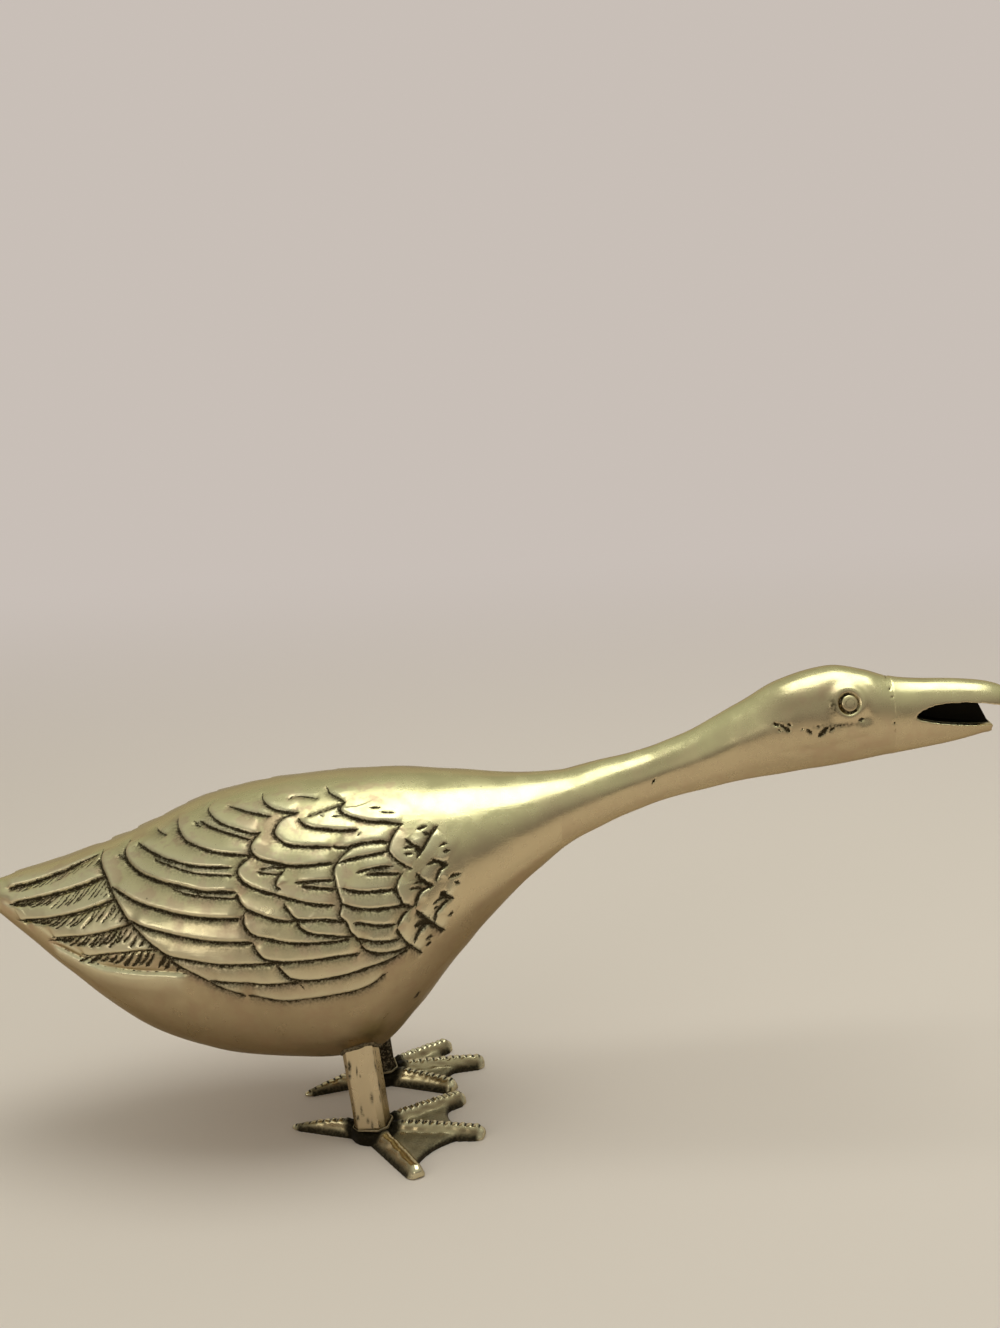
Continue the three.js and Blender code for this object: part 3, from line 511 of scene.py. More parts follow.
class Relief:
    """Height chased into a drawn surface, in millimetres, and its tarnish, rubbing and browning as shares,
    which also carry painted shade under each step and painted highlights on its lip.
    """

    def __init__(self, u, v, scale=1):
        self.u = u.ravel()
        self.v = v.ravel()
        self.scale = np.broadcast_to(scale, u.shape).ravel()
        self.height, self.patina, self.crest, self.brown_and_shade = np.zeros((4, self.u.size))
        self.nearest = np.full(self.u.size, np.inf)
        self.line = np.full(self.u.size, float(LINE_REACH))

    def cut(self, points, width, depth, step=0, dark=1, soft=1.2, taper=1.2, reach=9, rub_and_highlight=2.3, shade=2):
        """One uneven line: a groove, and a step that leaves the surface on its left proud and softly rounded.

        The lip is rubbed bright over the length rub_and_highlight, partly wear and partly a painted
        highlight, and the tucked side is browned over the length shade, partly tarnish and partly painted
        shade.
        The line itself is kept as a distance in half-widths, signed for a thin line beside a step."""
        path = smooth_path(points)
        low, high = path.min(0) - reach, path.max(0) + reach
        near = np.flatnonzero((self.u > low[0]) & (self.u < high[0]) & (self.v > low[1]) & (self.v < high[1]))
        signed, along, length = to_path(self.u[near], self.v[near], self.scale[near], path)
        signed += LINE_WANDER * np.sin(3.7 * along) * np.sin(1.3 * along + points[0][1])
        distance = np.abs(signed)
        to_end = np.minimum(along, length - along)
        fade = smoothstep(0, min(taper, length / 2), to_end)
        settle = smoothstep(0, min(STEP_RUN_IN, length / 2), to_end)
        wide = width * (0.15 + 0.85 * fade) * (1 + 0.25 * np.sin(0.9 * along + points[0][0]))
        widths_away = signed / wide if step else distance / wide
        nearer = np.abs(widths_away) < np.abs(self.line[near])
        self.line[near[nearer]] = widths_away[nearer]
        left = np.maximum(signed, 0)
        lip = 0.9 * soft
        rounded = np.sqrt(1 - (1 - np.clip(left / lip, 0, 1)) ** 2)
        proud = 1.3 * rounded * np.exp(-left / (3.4 * soft)) * (1 - smoothstep(0.5 * reach, reach, left))
        tucked = -0.6 * np.exp(np.minimum(signed, 0) / TUCK_REACH)
        upper = 0.5 + 0.5 * np.tanh(signed / STEP_BLEND)
        groove = bell(signed + 0.3 * (step > 0), np.maximum(wide, GROOVE_LEAST))
        self.height[near] += settle * step * (upper * proud + (1 - upper) * tucked) - fade * depth * groove
        if not step:
            return
        below = signed < 0
        # Tarnish beside the step, wider below, where it is also painted shade under the edge
        halo = np.where(below, 0.8, 0.4) * np.exp(-distance / np.where(below, TARNISH_AND_SHADE_BELOW, TARNISH_ABOVE))
        self.patina[near] = np.maximum(self.patina[near], np.clip(fade * dark * halo, 0, 1))
        self.nearest[near] = np.minimum(self.nearest[near], distance + reach * (1 - fade))
        # The lip lighter: rubbed wear and a painted highlight
        rubbed_and_highlight = settle * np.where(signed > 0, np.exp(-left / rub_and_highlight), 0)
        self.crest[near] = np.maximum(self.crest[near], rubbed_and_highlight)
        # The tucked side browned: tarnish, and painted shade under the edge
        browned_and_shaded = 0.7 * settle * dark * np.where(below, np.exp(-distance / shade), 0)
        self.brown_and_shade[near] = np.maximum(self.brown_and_shade[near], browned_and_shaded)

    def rub_and_highlight(self, points, width, share):
        """A band along a path painted lighter, as a painted highlight."""
        away = to_path(self.u, self.v, self.scale, smooth_path(points))[0]
        self.crest = np.maximum(self.crest, share * bell(away, width))

    def lines(self, shape, worn=1):
        """Nearness to a line and side of it, as shares for the brass to read. A worn line is thinner."""
        line = np.clip(self.line.reshape(shape) / (LINE_REACH * worn), -1, 1)
        return {"line_near": 1 - np.abs(line), "line_side": 0.5 + 0.5 * line}

    def pillow(self, depth, width):
        """Rounds every feather down to the lines that bound it."""
        self.height -= depth * np.exp(-self.nearest / width)


def flank_relief(x, angle):
    """Height of the right flank over its smooth skin, and the shares painted on it."""
    u, v = np.meshgrid(x, angle * UNROLL, indexing="ij")
    high, half = section(x)[1:]
    relief = Relief(u, v, ((high + half) / (2 * UNROLL))[:, None])
    for lines, style in (
        (WING_RIM + FLIGHT_FEATHERS, LONG_EDGE),
        (BACK_FEATHERS, BACK_EDGE),
        (INNER_LINES, INNER_LINE),
        (REAR_COVERTS + MIDDLE_COVERTS + FRONT_COVERTS, COVERT_EDGE),
        (ROW_ENDS, ROW_END),
        (SHOULDER_SCALES, SCALE_EDGE),
        (CHISEL_CUTS, CHISEL_CUT),
        (ODD_CUTS, ODD_CUT),
    ):
        for line in lines:
            relief.cut(line, **style)
    for line, width in POCKETS:
        relief.cut(line, width, POCKET_DEPTH)
    for edge, rim, run, spacing, width in TAIL_FEATHERS:
        relief.cut(edge, **TAIL_EDGE)
        cut_barbs(relief, edge, rim, run, spacing, width)
    relief.cut(TAIL_RIM, **TAIL_LIP)
    relief.rub_and_highlight(TAIL_TIPS, 0.9, 0.9)
    relief.pillow(0.3, 1)
    shape = len(x), len(angle)
    worn = np.maximum(1 - smoothstep(*SPINE_WEAR, v), 0.02)
    on_wing = smoothstep(*WASH_REAR, u) * (1 - smoothstep(*WASH_FRONT, u)) * smoothstep(*WASH_LOW, v)
    low = 1 - smoothstep(*BELLY, v)
    # The lower breast browned: partly tarnish, partly painted shade
    breast = smoothstep(*BROWN_REAR, u) * low * (1 - smoothstep(*BROWN_FRONT, u))
    painted = {
        "patina": np.maximum(relief.patina.reshape(shape), 0.06 * on_wing) * worn,
        "crest": relief.crest.reshape(shape) * worn,
        # The dull rear and belly, reaching forward low down: duller brass, and painted shade on its downward
        # faces
        "dull": (1 - smoothstep(*DULL_AND_SHADE_FRONT, u - 40 * low)) * (1 - 0.7 * smoothstep(*DULL_AND_SHADE_SPINE, v)),
        "brown_and_shade": np.maximum(0.45 * breast, relief.brown_and_shade.reshape(shape) * worn),
    }
    return relief.height.reshape(shape) * worn, {**painted, **relief.lines(shape, worn)}


def travelled_along(path):
    return np.concatenate([[0], np.cumsum(np.linalg.norm(np.diff(path, axis=0), axis=1))])


def cut_barbs(relief, edge, rim, run, spacing, width):
    """Slanting chisel cuts below a tail feather's edge: shorter down the wing's rim, and uneven."""
    own = travelled_along(smooth_path(edge))[-1]
    edge = smooth_path(edge + rim, 0.5)
    travelled = travelled_along(edge)
    for place in np.arange(0.16 * own, travelled[-1], spacing):
        place += rng.uniform(-0.25, 0.25) * spacing
        start = np.array([np.interp(place, travelled, edge[:, k]) for k in range(2)])
        shorter = 1 - 0.8 * max(place - own, 0) / (travelled[-1] - own)
        reach = np.array(run) * rng.uniform(0.9, 1.1, 2) * shorter
        first = start + reach * rng.uniform(0.05, 0.2)
        last = start + reach * rng.uniform(0.95, 1.2)
        bow = (first + last) / 2 + np.array([0.4, 0])
        thick = width * rng.uniform(0.8, 1.2) * (0.4 + 0.6 * smoothstep(0, 0.5 * own, place))
        relief.cut([first, bow, last], thick, width, taper=1.5, reach=3)


def ripple(points):
    """Slight unevenness of a hand-filed casting."""
    waves = [((0.31, 0.12, 0.22), 0.05), ((-0.18, 0.27, 0.35), 0.04), ((0.52, -0.33, 0.41), 0.02)]
    return sum(size * (np.sin(points @ np.array(wave) + 3 * size) - 1) for wave, size in waves)


def filed_flats(x, angle):
    """Long uneven flats left by the file along the neck, fading out on the head."""
    drift = 0.012 * x[:, None]
    wave = np.sin(5 * angle + drift) + 0.7 * np.sin(9 * angle - 2 * drift + 1)
    share = smoothstep(NECK_X, NECK_X + 20, x) * (1 - 0.6 * smoothstep(70, 95, x))
    share *= 1 - smoothstep(100, BEAK_X, x)
    return 0.08 * share[:, None] * (wave - 1.7)


def grid_faces(rows, columns, wrap=False):
    across = columns if wrap else columns - 1
    i, j = np.meshgrid(np.arange(rows - 1), np.arange(across), indexing="ij")
    k = (j + 1) % columns
    corners = [i * columns + j, (i + 1) * columns + j, (i + 1) * columns + k, i * columns + k]
    return np.stack(corners, -1).reshape(-1, 4)


def placed(name, data):
    """A new object in the scene."""
    made = bpy.data.objects.new(name, data)
    bpy.context.scene.collection.objects.link(made)
    return made


class Skin:
    """Vertices and faces gathered into one mesh, in millimetres from the goose's middle plane."""

    def __init__(self):
        self.points = []
        self.shares = {name: [] for name in ("patina", "crest", "dull", "brown_and_shade", "line_near", "line_side")}
        self.faces = []
        self.count = 0

    def add(self, points, faces, **painted):
        points = np.asarray(points, float).reshape(-1, 3)
        self.points.append(points)
        for name, share in self.shares.items():
            share.append(np.broadcast_to(np.ravel(painted.get(name, 0)), len(points)))
        self.faces.extend((np.asarray(faces) + self.count).tolist())
        self.count += len(points)

    def cap(self, ring, reverse=False):
        """Flat end over a ring of points."""
        ring = np.asarray(ring)[::-1] if reverse else np.asarray(ring)
        index = np.arange(len(ring))
        fan = np.stack([np.full(len(ring), len(ring)), index, (index + 1) % len(ring)], -1)
        self.add(np.concatenate([ring, ring.mean(0, keepdims=True)]), fan)

    def tube(self, points, **painted):
        """Closed tube through rows of points, with both ends capped."""
        self.add(points, grid_faces(*points.shape[:2], wrap=True), **painted)
        self.cap(points[0])
        self.cap(points[-1], reverse=True)

    def build(self, name, mirror=False):
        points = np.concatenate(self.points) * (1, -1 if mirror else 1, 1)
        mesh = bpy.data.meshes.new(name)
        faces = [face[::-1] for face in self.faces] if mirror else self.faces
        mesh.from_pydata(((points + (0, SEAM_Y, 0)) * MM).tolist(), [], faces)
        for share, values in self.shares.items():
            paint(mesh, share, np.concatenate(values))
        mesh.shade_smooth()
        return placed(name, mesh)


def paint(mesh, name, values):
    """A share at each vertex, such as tarnish, rubbing and painted shade, which the brass reads."""
    attribute = mesh.attributes.get(name) or mesh.attributes.new(name, "FLOAT", "POINT")
    attribute.data.foreach_set("value", np.clip(values, 0, 1).astype(np.float32))


def body_skin():
    """The right half of the body, closed on the middle plane and where the neck plugs in."""
    x = graded(*BODY_SPANS)
    angle = graded(*FLANK_SPANS) / UNROLL
    points, normals = skin(x, angle)
    height, painted = flank_relief(x, angle)
    points = points + normals * (height + ripple(points))[..., None]
    points[:, [0, -1], 1] = 0
    half = Skin()
    half.add(points, grid_faces(len(x), len(angle)), **painted)
    seam = np.stack([points[:, -1], points[:, 0]], 1)
    half.add(seam, grid_faces(len(x), 2))
    half.cap(points[0])
    half.cap(points[-1], reverse=True)
    return half


def eye_frame():
    """Centre and outward direction of the right eye."""
    x = np.array([NECK_X + EYE_ALONG])
    middle, high = (float(row[0]) for row in section(x)[:2])
    angle = math.asin((HEAD_MIDDLE + EYE_ABOVE - middle) / high)
    points, normals = skin(x, np.array([angle]))
    return points[0, 0], normals[0, 0]


def ringed_eyes(points):
    """Height of the eyes' lids, sockets and the hollow round them, and the tarnish in the sockets."""
    eye, out = eye_frame()
    facing = points.copy()
    facing[..., 1] = -np.abs(points[..., 1])
    offset = facing - eye
    level = offset @ out
    radius = np.sqrt(np.maximum((offset**2).sum(-1) - level**2, 0))
    radius = np.where(np.abs(level) < 4, radius, 99)
    lid = EYELID_HEIGHT * bell(radius - EYELID_RADIUS, 1.5)
    socket = EYE_SOCKET_DEPTH * (1 - smoothstep(EYE_SOCKET_RADIUS - 0.6, EYE_SOCKET_RADIUS + 0.5, radius))
    hollow = 0.25 * bell(radius - 6.4, 2)
    turn = np.arctan2(offset[..., 2], offset[..., 0])
    ring = (1 - smoothstep(2.5, 3.4, radius)) * np.clip(0.5 + 0.55 * np.sin(2 * turn - 2.4), 0, 1)
    return lid - socket - hollow, ring


def from_spot(points, spot, wide=1, high=1):
    """Distance from a spot on the side of the head, in the half-widths of an ellipse."""
    return np.hypot((points[..., 0] - spot[0]) / wide, (points[..., 2] - spot[1]) / high)


def painted_reflection_band(x, angle):
    """Share of the brown band along the neck and over the temple, a painted reflection."""
    along = 0.6 * smoothstep(NECK_X + 5, NECK_X + 25, x) * (1 - smoothstep(50, 64, x))
    along += smoothstep(74, 84, x) * (1 - smoothstep(94, 104, x))
    return along[:, None] * bell(np.sin(angle) - 0.6, 0.22)


def head_skin():
    x = graded(*HEAD_SPANS)
    eye = eye_frame()[0]
    side = math.degrees(math.asin((eye[2] - HEAD_MIDDLE) / (HEAD_HEIGHT / 2)))
    fine = side - 28, side + 28
    near = graded((-90, -50, 2.2), (-50, fine[0], 1.3), (*fine, 0.75), (fine[1], 90, 2.2))
    angle = np.radians(np.concatenate([near, (180 - near[::-1])[1:-1]]))
    points, normals = skin(x, angle)
    shape = len(x), len(angle)
    cuts = Relief(points[..., 0], points[..., 2])
    for line, width in CHEEK_CUTS:
        cuts.cut(line, 0.75 * width, 0.8 * width, taper=0.8)
    crease = Relief(points[..., 0], points[..., 2])
    crease.cut(CHEEK_CREASE, 1.6, 0.35, taper=5)
    bump = from_spot(points, CHEEK_BUMP)
    sockets, ring = ringed_eyes(points)
    height = (cuts.height + crease.height).reshape(shape) + sockets + ripple(points) + filed_flats(x, angle)
    height += 0.5 * bell(bump, 1.8) - 0.2 * bell(bump - 3, 1.2)
    # Painted shade in the hollow beside the eye
    hollow_shade = 0.55 * bell(from_spot(points, EYE_HOLLOW_SHADE, 1.5, 3), 1)
    smear = 0.5 * bell(from_spot(points, CHEEK_SMEAR, 8, 0.9), 1)
    patina = np.maximum(ring, np.maximum(hollow_shade, smear))
    # Brown band round the neck and temple: a painted reflection
    band = painted_reflection_band(x, angle)
    # Underside of the neck and head, and the brown band: dull brass with painted shade on downward faces
    shade_beneath = 1 - smoothstep(-0.7, 0.55, np.sin(angle))
    dull = np.maximum((0.35 + 0.4 * smoothstep(60, 95, x))[:, None] * shade_beneath, 0.8 * band)
    painted = {"patina": patina, "dull": dull, "brown_and_shade": 0.5 * band, **cuts.lines(shape)}
    head = Skin()
    head.tube(points + normals * height[..., None], **painted)
    return head


def eye_stud_skin():
    eye, out = eye_frame()
    rise = 0.22 * EYE_STUD_RADIUS
    base = np.linspace(-EYE_SOCKET_DEPTH, 0, 6)
    bend = np.linspace(0, math.pi / 2, 14)[1:-1]
    radii = np.concatenate([np.full(6, EYE_STUD_RADIUS), EYE_STUD_RADIUS * np.cos(bend)])
    levels = np.concatenate([base, rise * np.sin(bend)])
    turn = np.linspace(0, 2 * math.pi, 48, endpoint=False)
    forward = np.array([1.0, 0, 0]) - out[0] * out
    forward /= np.linalg.norm(forward)
    upward = np.cross(out, forward)
    circle = np.cos(turn)[:, None] * forward + np.sin(turn)[:, None] * upward
    rings = eye + radii[:, None, None] * circle[None] + levels[:, None, None] * out
    stud = Skin()
    faces = grid_faces(len(radii), len(turn), wrap=True)[:, ::-1]
    rim = bell(radii - 0.55 * EYE_STUD_RADIUS, 0.3)
    tarnish_and_shade = np.maximum(0.6 - 0.6 * smoothstep(-0.3, 0.2, levels), 0.45 * rim)
    stud.add(rings, faces, patina=np.repeat(tarnish_and_shade, len(turn)), dull=1)
    stud.cap(rings[0], reverse=True)
    stud.cap(rings[-1])
    return stud


def baked(piece):
    """Piece with its modifiers worked into its mesh."""
    graph = bpy.context.evaluated_depsgraph_get()
    mesh = bpy.data.meshes.new_from_object(piece.evaluated_get(graph))
    piece.modifiers.clear()
    piece.data = mesh
    return piece


def remeshed(piece, voxel, rounds):
    """Piece rebuilt as an even fine skin with its edges eased."""
    remesh = piece.modifiers.new("remesh", "REMESH")
    remesh.mode = "VOXEL"
    remesh.voxel_size = voxel * MM
    ease = piece.modifiers.new("ease", "SMOOTH")
    ease.iterations = rounds
    baked(piece).data.shade_smooth()
    return piece


def at_vertices(mesh, what):
    flat = np.zeros(len(mesh.vertices) * 3)
    mesh.vertices.foreach_get(what, flat)
    return flat.reshape(-1, 3)


def vertices_mm(mesh):
    return at_vertices(mesh, "co") / MM - (0, SEAM_Y, 0)


def move_vertices(mesh, points):
    mesh.vertices.foreach_set("co", ((points + (0, SEAM_Y, 0)) * MM).ravel())
    mesh.update()


def prism(outline, low, high):
    """Side outline, drawn clockwise, pulled across the beak between two distances from the middle plane."""
    ring = np.array(outline) + (BEAK_X, HEAD_MIDDLE)
    count = len(ring)
    body = Skin()
    near, far = (np.insert(ring, 1, y, axis=1) for y in (low, high))
    index = np.arange(count)
    after = (index + 1) % count
    body.add(np.concatenate([near, far]), np.stack([index, after, after + count, index + count], -1))
    body.faces.append(list(range(count - 1, -1, -1)))
    body.faces.append(list(range(count, 2 * count)))
    return body.build("cutter")


def in_front_of(outline, low, high):
    """The part of an outline to the right of a line from its low end to its high end."""
    low, high = np.array(low, float), np.array(high, float)
    across = np.array([high[1] - low[1], low[0] - high[0]])
    kept = []
    for a, b in zip(outline, outline[1:] + outline[:1]):
        a, b = np.array(a, float), np.array(b, float)
        da, db = (a - low) @ across, (b - low) @ across
        if da > 0:
            kept.append(a)
        if da * db < 0:
            kept.append(a + (b - a) * da / (da - db))
    return kept


def bezier(*points, count=14):
    t = np.linspace(0, 1, count)[:, None]
    points = [np.array(point, float) for point in points]
    while len(points) > 1:
        points = [a + t * (b - a) for a, b in zip(points, points[1:])]
    return points[0].tolist()


def mouth_outline():
    """The open mouth, which also clears the space in front of the shorter lower jaw."""
    front = BEAK_LENGTH + 2
    upper = bezier(
        (MOUTH_CORNER, 0),
        (0.26 * BEAK_LENGTH, 0.62 * MOUTH_HEIGHT),
        (0.59 * BEAK_LENGTH, 0.62 * MOUTH_HEIGHT),
        (front, 0),
    )
    lower = bezier(
        (JAW_LENGTH, -0.55 * MOUTH_HEIGHT),
        (0.4 * JAW_LENGTH, -0.38 * MOUTH_HEIGHT),
        (MOUTH_CORNER, 0),
    )
    return upper + [(front, -BEAK_HEIGHT), (JAW_LENGTH, -BEAK_HEIGHT)] + lower[:-1]


def beak_piece():
    x = graded((BEAK_X - 0.5, TIP_X - 0.1, 0.35))
    angle = np.radians(np.arange(-90, 270, 3.0))
    closed = Skin()
    closed.tube(skin(x, angle)[0])
    piece = closed.build("brass_beak")
    mouth = mouth_outline()
    raked = in_front_of(mouth, (JAW_LENGTH + 1, -MOUTH_HEIGHT), (JAW_LENGTH - 6, MOUTH_HEIGHT))
    web = PALATE_WEB / 2
    cutters = [
        prism(mouth, -BEAK_WIDTH, -web),
        prism(mouth, web, BEAK_WIDTH),
        prism(raked, -2 * web, 2 * web),
    ]
    for cutter in cutters:
        cut = piece.modifiers.new("mouth", "BOOLEAN")
        cut.operation = "DIFFERENCE"
        cut.object = cutter
        cut.solver = "EXACT"
    baked(piece)
    for cutter in cutters:
        bpy.data.objects.remove(cutter)
    remeshed(piece, BEAK_VOXEL, rounds=12)
    points = vertices_mm(piece.data)
    middle, high, half = section(points[:, 0])
    depth = (1 - np.hypot((points[:, 2] - middle) / high, points[:, 1] / half)) * half
    inside = (points[:, 0] > BEAK_X + MOUTH_CORNER - 1) & (points[:, 0] < BEAK_X + JAW_LENGTH - 0.5)
    lips = np.where(inside, smoothstep(0.05, 0.3, depth) * (1 - smoothstep(1.6, 2.4, depth)), 0)
    move_vertices(piece.data, eased(piece.data, points, lips, rounds=30))
    # Inside the mouth darkened towards the palate web: patina and painted shade
    paint(piece.data, "patina", np.where(inside, smoothstep(1.3, 2.3, depth), 0))
    # The lips lighter, as a painted highlight along the mouth's rim
    paint(piece.data, "crest", lips)
    # Underside of the beak: dull brass with painted shade on downward faces
    paint(piece.data, "dull", 0.6 * (1 - smoothstep(-0.6, 0.3, (points[:, 2] - middle) / high)))
    return piece


def copied(node, name):
    """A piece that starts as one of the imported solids."""
    piece = placed(name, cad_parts[node].data.copy())
    piece.data.materials.clear()
    return piece


def eased(mesh, points, share, rounds):
    """Points drawn towards their neighbours where the share asks for it."""
    ends = np.zeros(len(mesh.edges) * 2, int)
    mesh.edges.foreach_get("vertices", ends)
    first, second = ends.reshape(-1, 2).T
    neighbours = np.bincount(ends, minlength=len(points))[:, None]
    for _ in range(rounds):
        total = np.zeros_like(points)
        np.add.at(total, first, points[second])
        np.add.at(total, second, points[first])
        points = points + 0.5 * share[:, None] * (total / neighbours - points)
    return points


def toe_marks(side, offset):
    """How near each point is to the crest of a toe, to a notch in that crest and to the toe's tip."""
    mirror = 1 if side == "right" else -1
    crest, notch, tip = np.zeros((3, len(offset)))
    for turn, reach, teeth in TOES[side]:
        heading = mirror * math.radians(turn - TOE_OUT)
        along = offset @ (math.cos(heading), math.sin(heading)) - HUB_RADIUS
        across = np.abs(offset @ (-math.sin(heading), math.cos(heading)))
        toothed = reach * FOOT_REACH - HUB_RADIUS - TOE_NOSE
        pitch = toothed / round(toothed / TOE_TOOTH_PITCH)
        on_toe = (along > -1) & (along < toothed + 0.5)
        near = teeth * np.where(on_toe, 1 - smoothstep(0.6, 1.8, across), 0)
        gap = np.abs(along / pitch - np.round(along / pitch)) * pitch
        crest = np.maximum(crest, near)
        notch = np.maximum(notch, near * bell(gap, 0.35))
        tip = np.maximum(tip, smoothstep(toothed - 1.2, toothed + 0.6, along) * (across < 4))
    return crest, notch, tip


def foot_piece(side):
    piece = remeshed(copied(f"{side}_foot", f"{side}_webbed_foot"), FOOT_VOXEL, rounds=2)
    points = vertices_mm(piece.data)
    centre = np.array([TAIL_X + LEG_FROM_TAIL, LEG_SPREAD / 2 * (-1 if side == "right" else 1)])
    offset = points[:, :2] - centre
    radius = np.linalg.norm(offset, axis=1)
    crest, notch, tip = toe_marks(side, offset)
    low = smoothstep(0.3, 0.9, points[:, 2]) * (1 - crest * smoothstep(3, 3.8, points[:, 2]))
    points = eased(piece.data, points, np.maximum(low, tip), rounds=40)
    lumps = FOOT_LUMPS * np.sin(points @ (1.1, 0.4, 0.7)) * np.sin(points @ (-0.5, 0.9, 1.2) + 1)
    lumps *= smoothstep(0.3, 1, points[:, 2])
    points = points + at_vertices(piece.data, "normal") * lumps[:, None]
    points[:, 2] = np.maximum(points[:, 2], 0)
    move_vertices(piece.data, points)
    root = 0.85 * (1 - smoothstep(6.5, 10.5, radius))
    # The low parts of the foot darker: patina in its hollows and painted shade near the floor
    shade_beneath = 0.75 * (1 - smoothstep(0.8, 3.8, points[:, 2])) * (1 - tip)
    paint(piece.data, "patina", np.maximum(np.maximum(root, shade_beneath), 0.9 * notch))
    # Toe crests and tips lighter: rubbed wear and a painted highlight
    paint(piece.data, "crest", np.maximum(crest * smoothstep(3, 4.4, points[:, 2]) * (1 - notch), 0.8 * tip))
    return piece


def bar_piece(side, part, name, rounds, tarnish_and_shade, inner_shade=0, stains=0, lift=0):
    """Leg or filler with an even tarnish, painted shade on its inner side where asked for, and dark upright
    stains scattered over it.

    The lift raises it into the body above."""
    piece = remeshed(copied(f"{side}_{part}", f"{side}_{name}"), BAR_VOXEL, rounds)
    points = vertices_mm(piece.data)
    move_vertices(piece.data, points + (0, 0, lift))
    across = np.abs(points[:, 1]) - LEG_SPREAD / 2
    patina = np.maximum(tarnish_and_shade, inner_shade * (1 - smoothstep(-1, 2, across)))
    for middle in rng.choice(points, stains):
        width, length = rng.uniform((0.25, 0.5), (0.6, 2.2))
        away = (points - middle) / (width, width, length)
        patina = np.maximum(patina, rng.uniform(0.3, 0.9) * np.exp(-(away**2).sum(1)))
    paint(piece.data, "patina", patina)
    return piece


def add_node(tree, kind, inputs=None, **settings):
    made = tree.nodes.new("ShaderNode" + kind)
    for key, value in settings.items():
        setattr(made, key, value)
    for key, value in (inputs or {}).items():
        if isinstance(value, bpy.types.NodeSocket):
            tree.links.new(value, made.inputs[key])
        else:
            made.inputs[key].default_value = value
    return made


def mixed(tree, share, first, second):
    return add_node(tree, "Mix", {0: share, 6: first, 7: second}, data_type="RGBA").outputs[2]


def ranged(tree, value, low, high, to_low=0.0, to_high=1.0):
    inputs = {"Value": value, "From Min": low, "From Max": high, "To Min": to_low, "To Max": to_high}
    return add_node(tree, "MapRange", inputs, interpolation_type="SMOOTHSTEP").outputs["Result"]


def combined(tree, operation, first, second):
    return add_node(tree, "Math", {0: first, 1: second}, operation=operation).outputs[0]


# Tints that every brass shares
ROSY = (0.6, 0.42, 0.28, 1)
SHADED = (0.38, 0.285, 0.165, 1)
BROWN_AND_SHADE = (0.26, 0.19, 0.115, 1)
RUBBED_AND_HIGHLIGHT = (0.88, 0.82, 0.56, 1)
BLACKENED_AND_SHADE = (0.005, 0.004, 0.002, 1)
SHEEN = (0.55, 0.5, 0.42, 1)


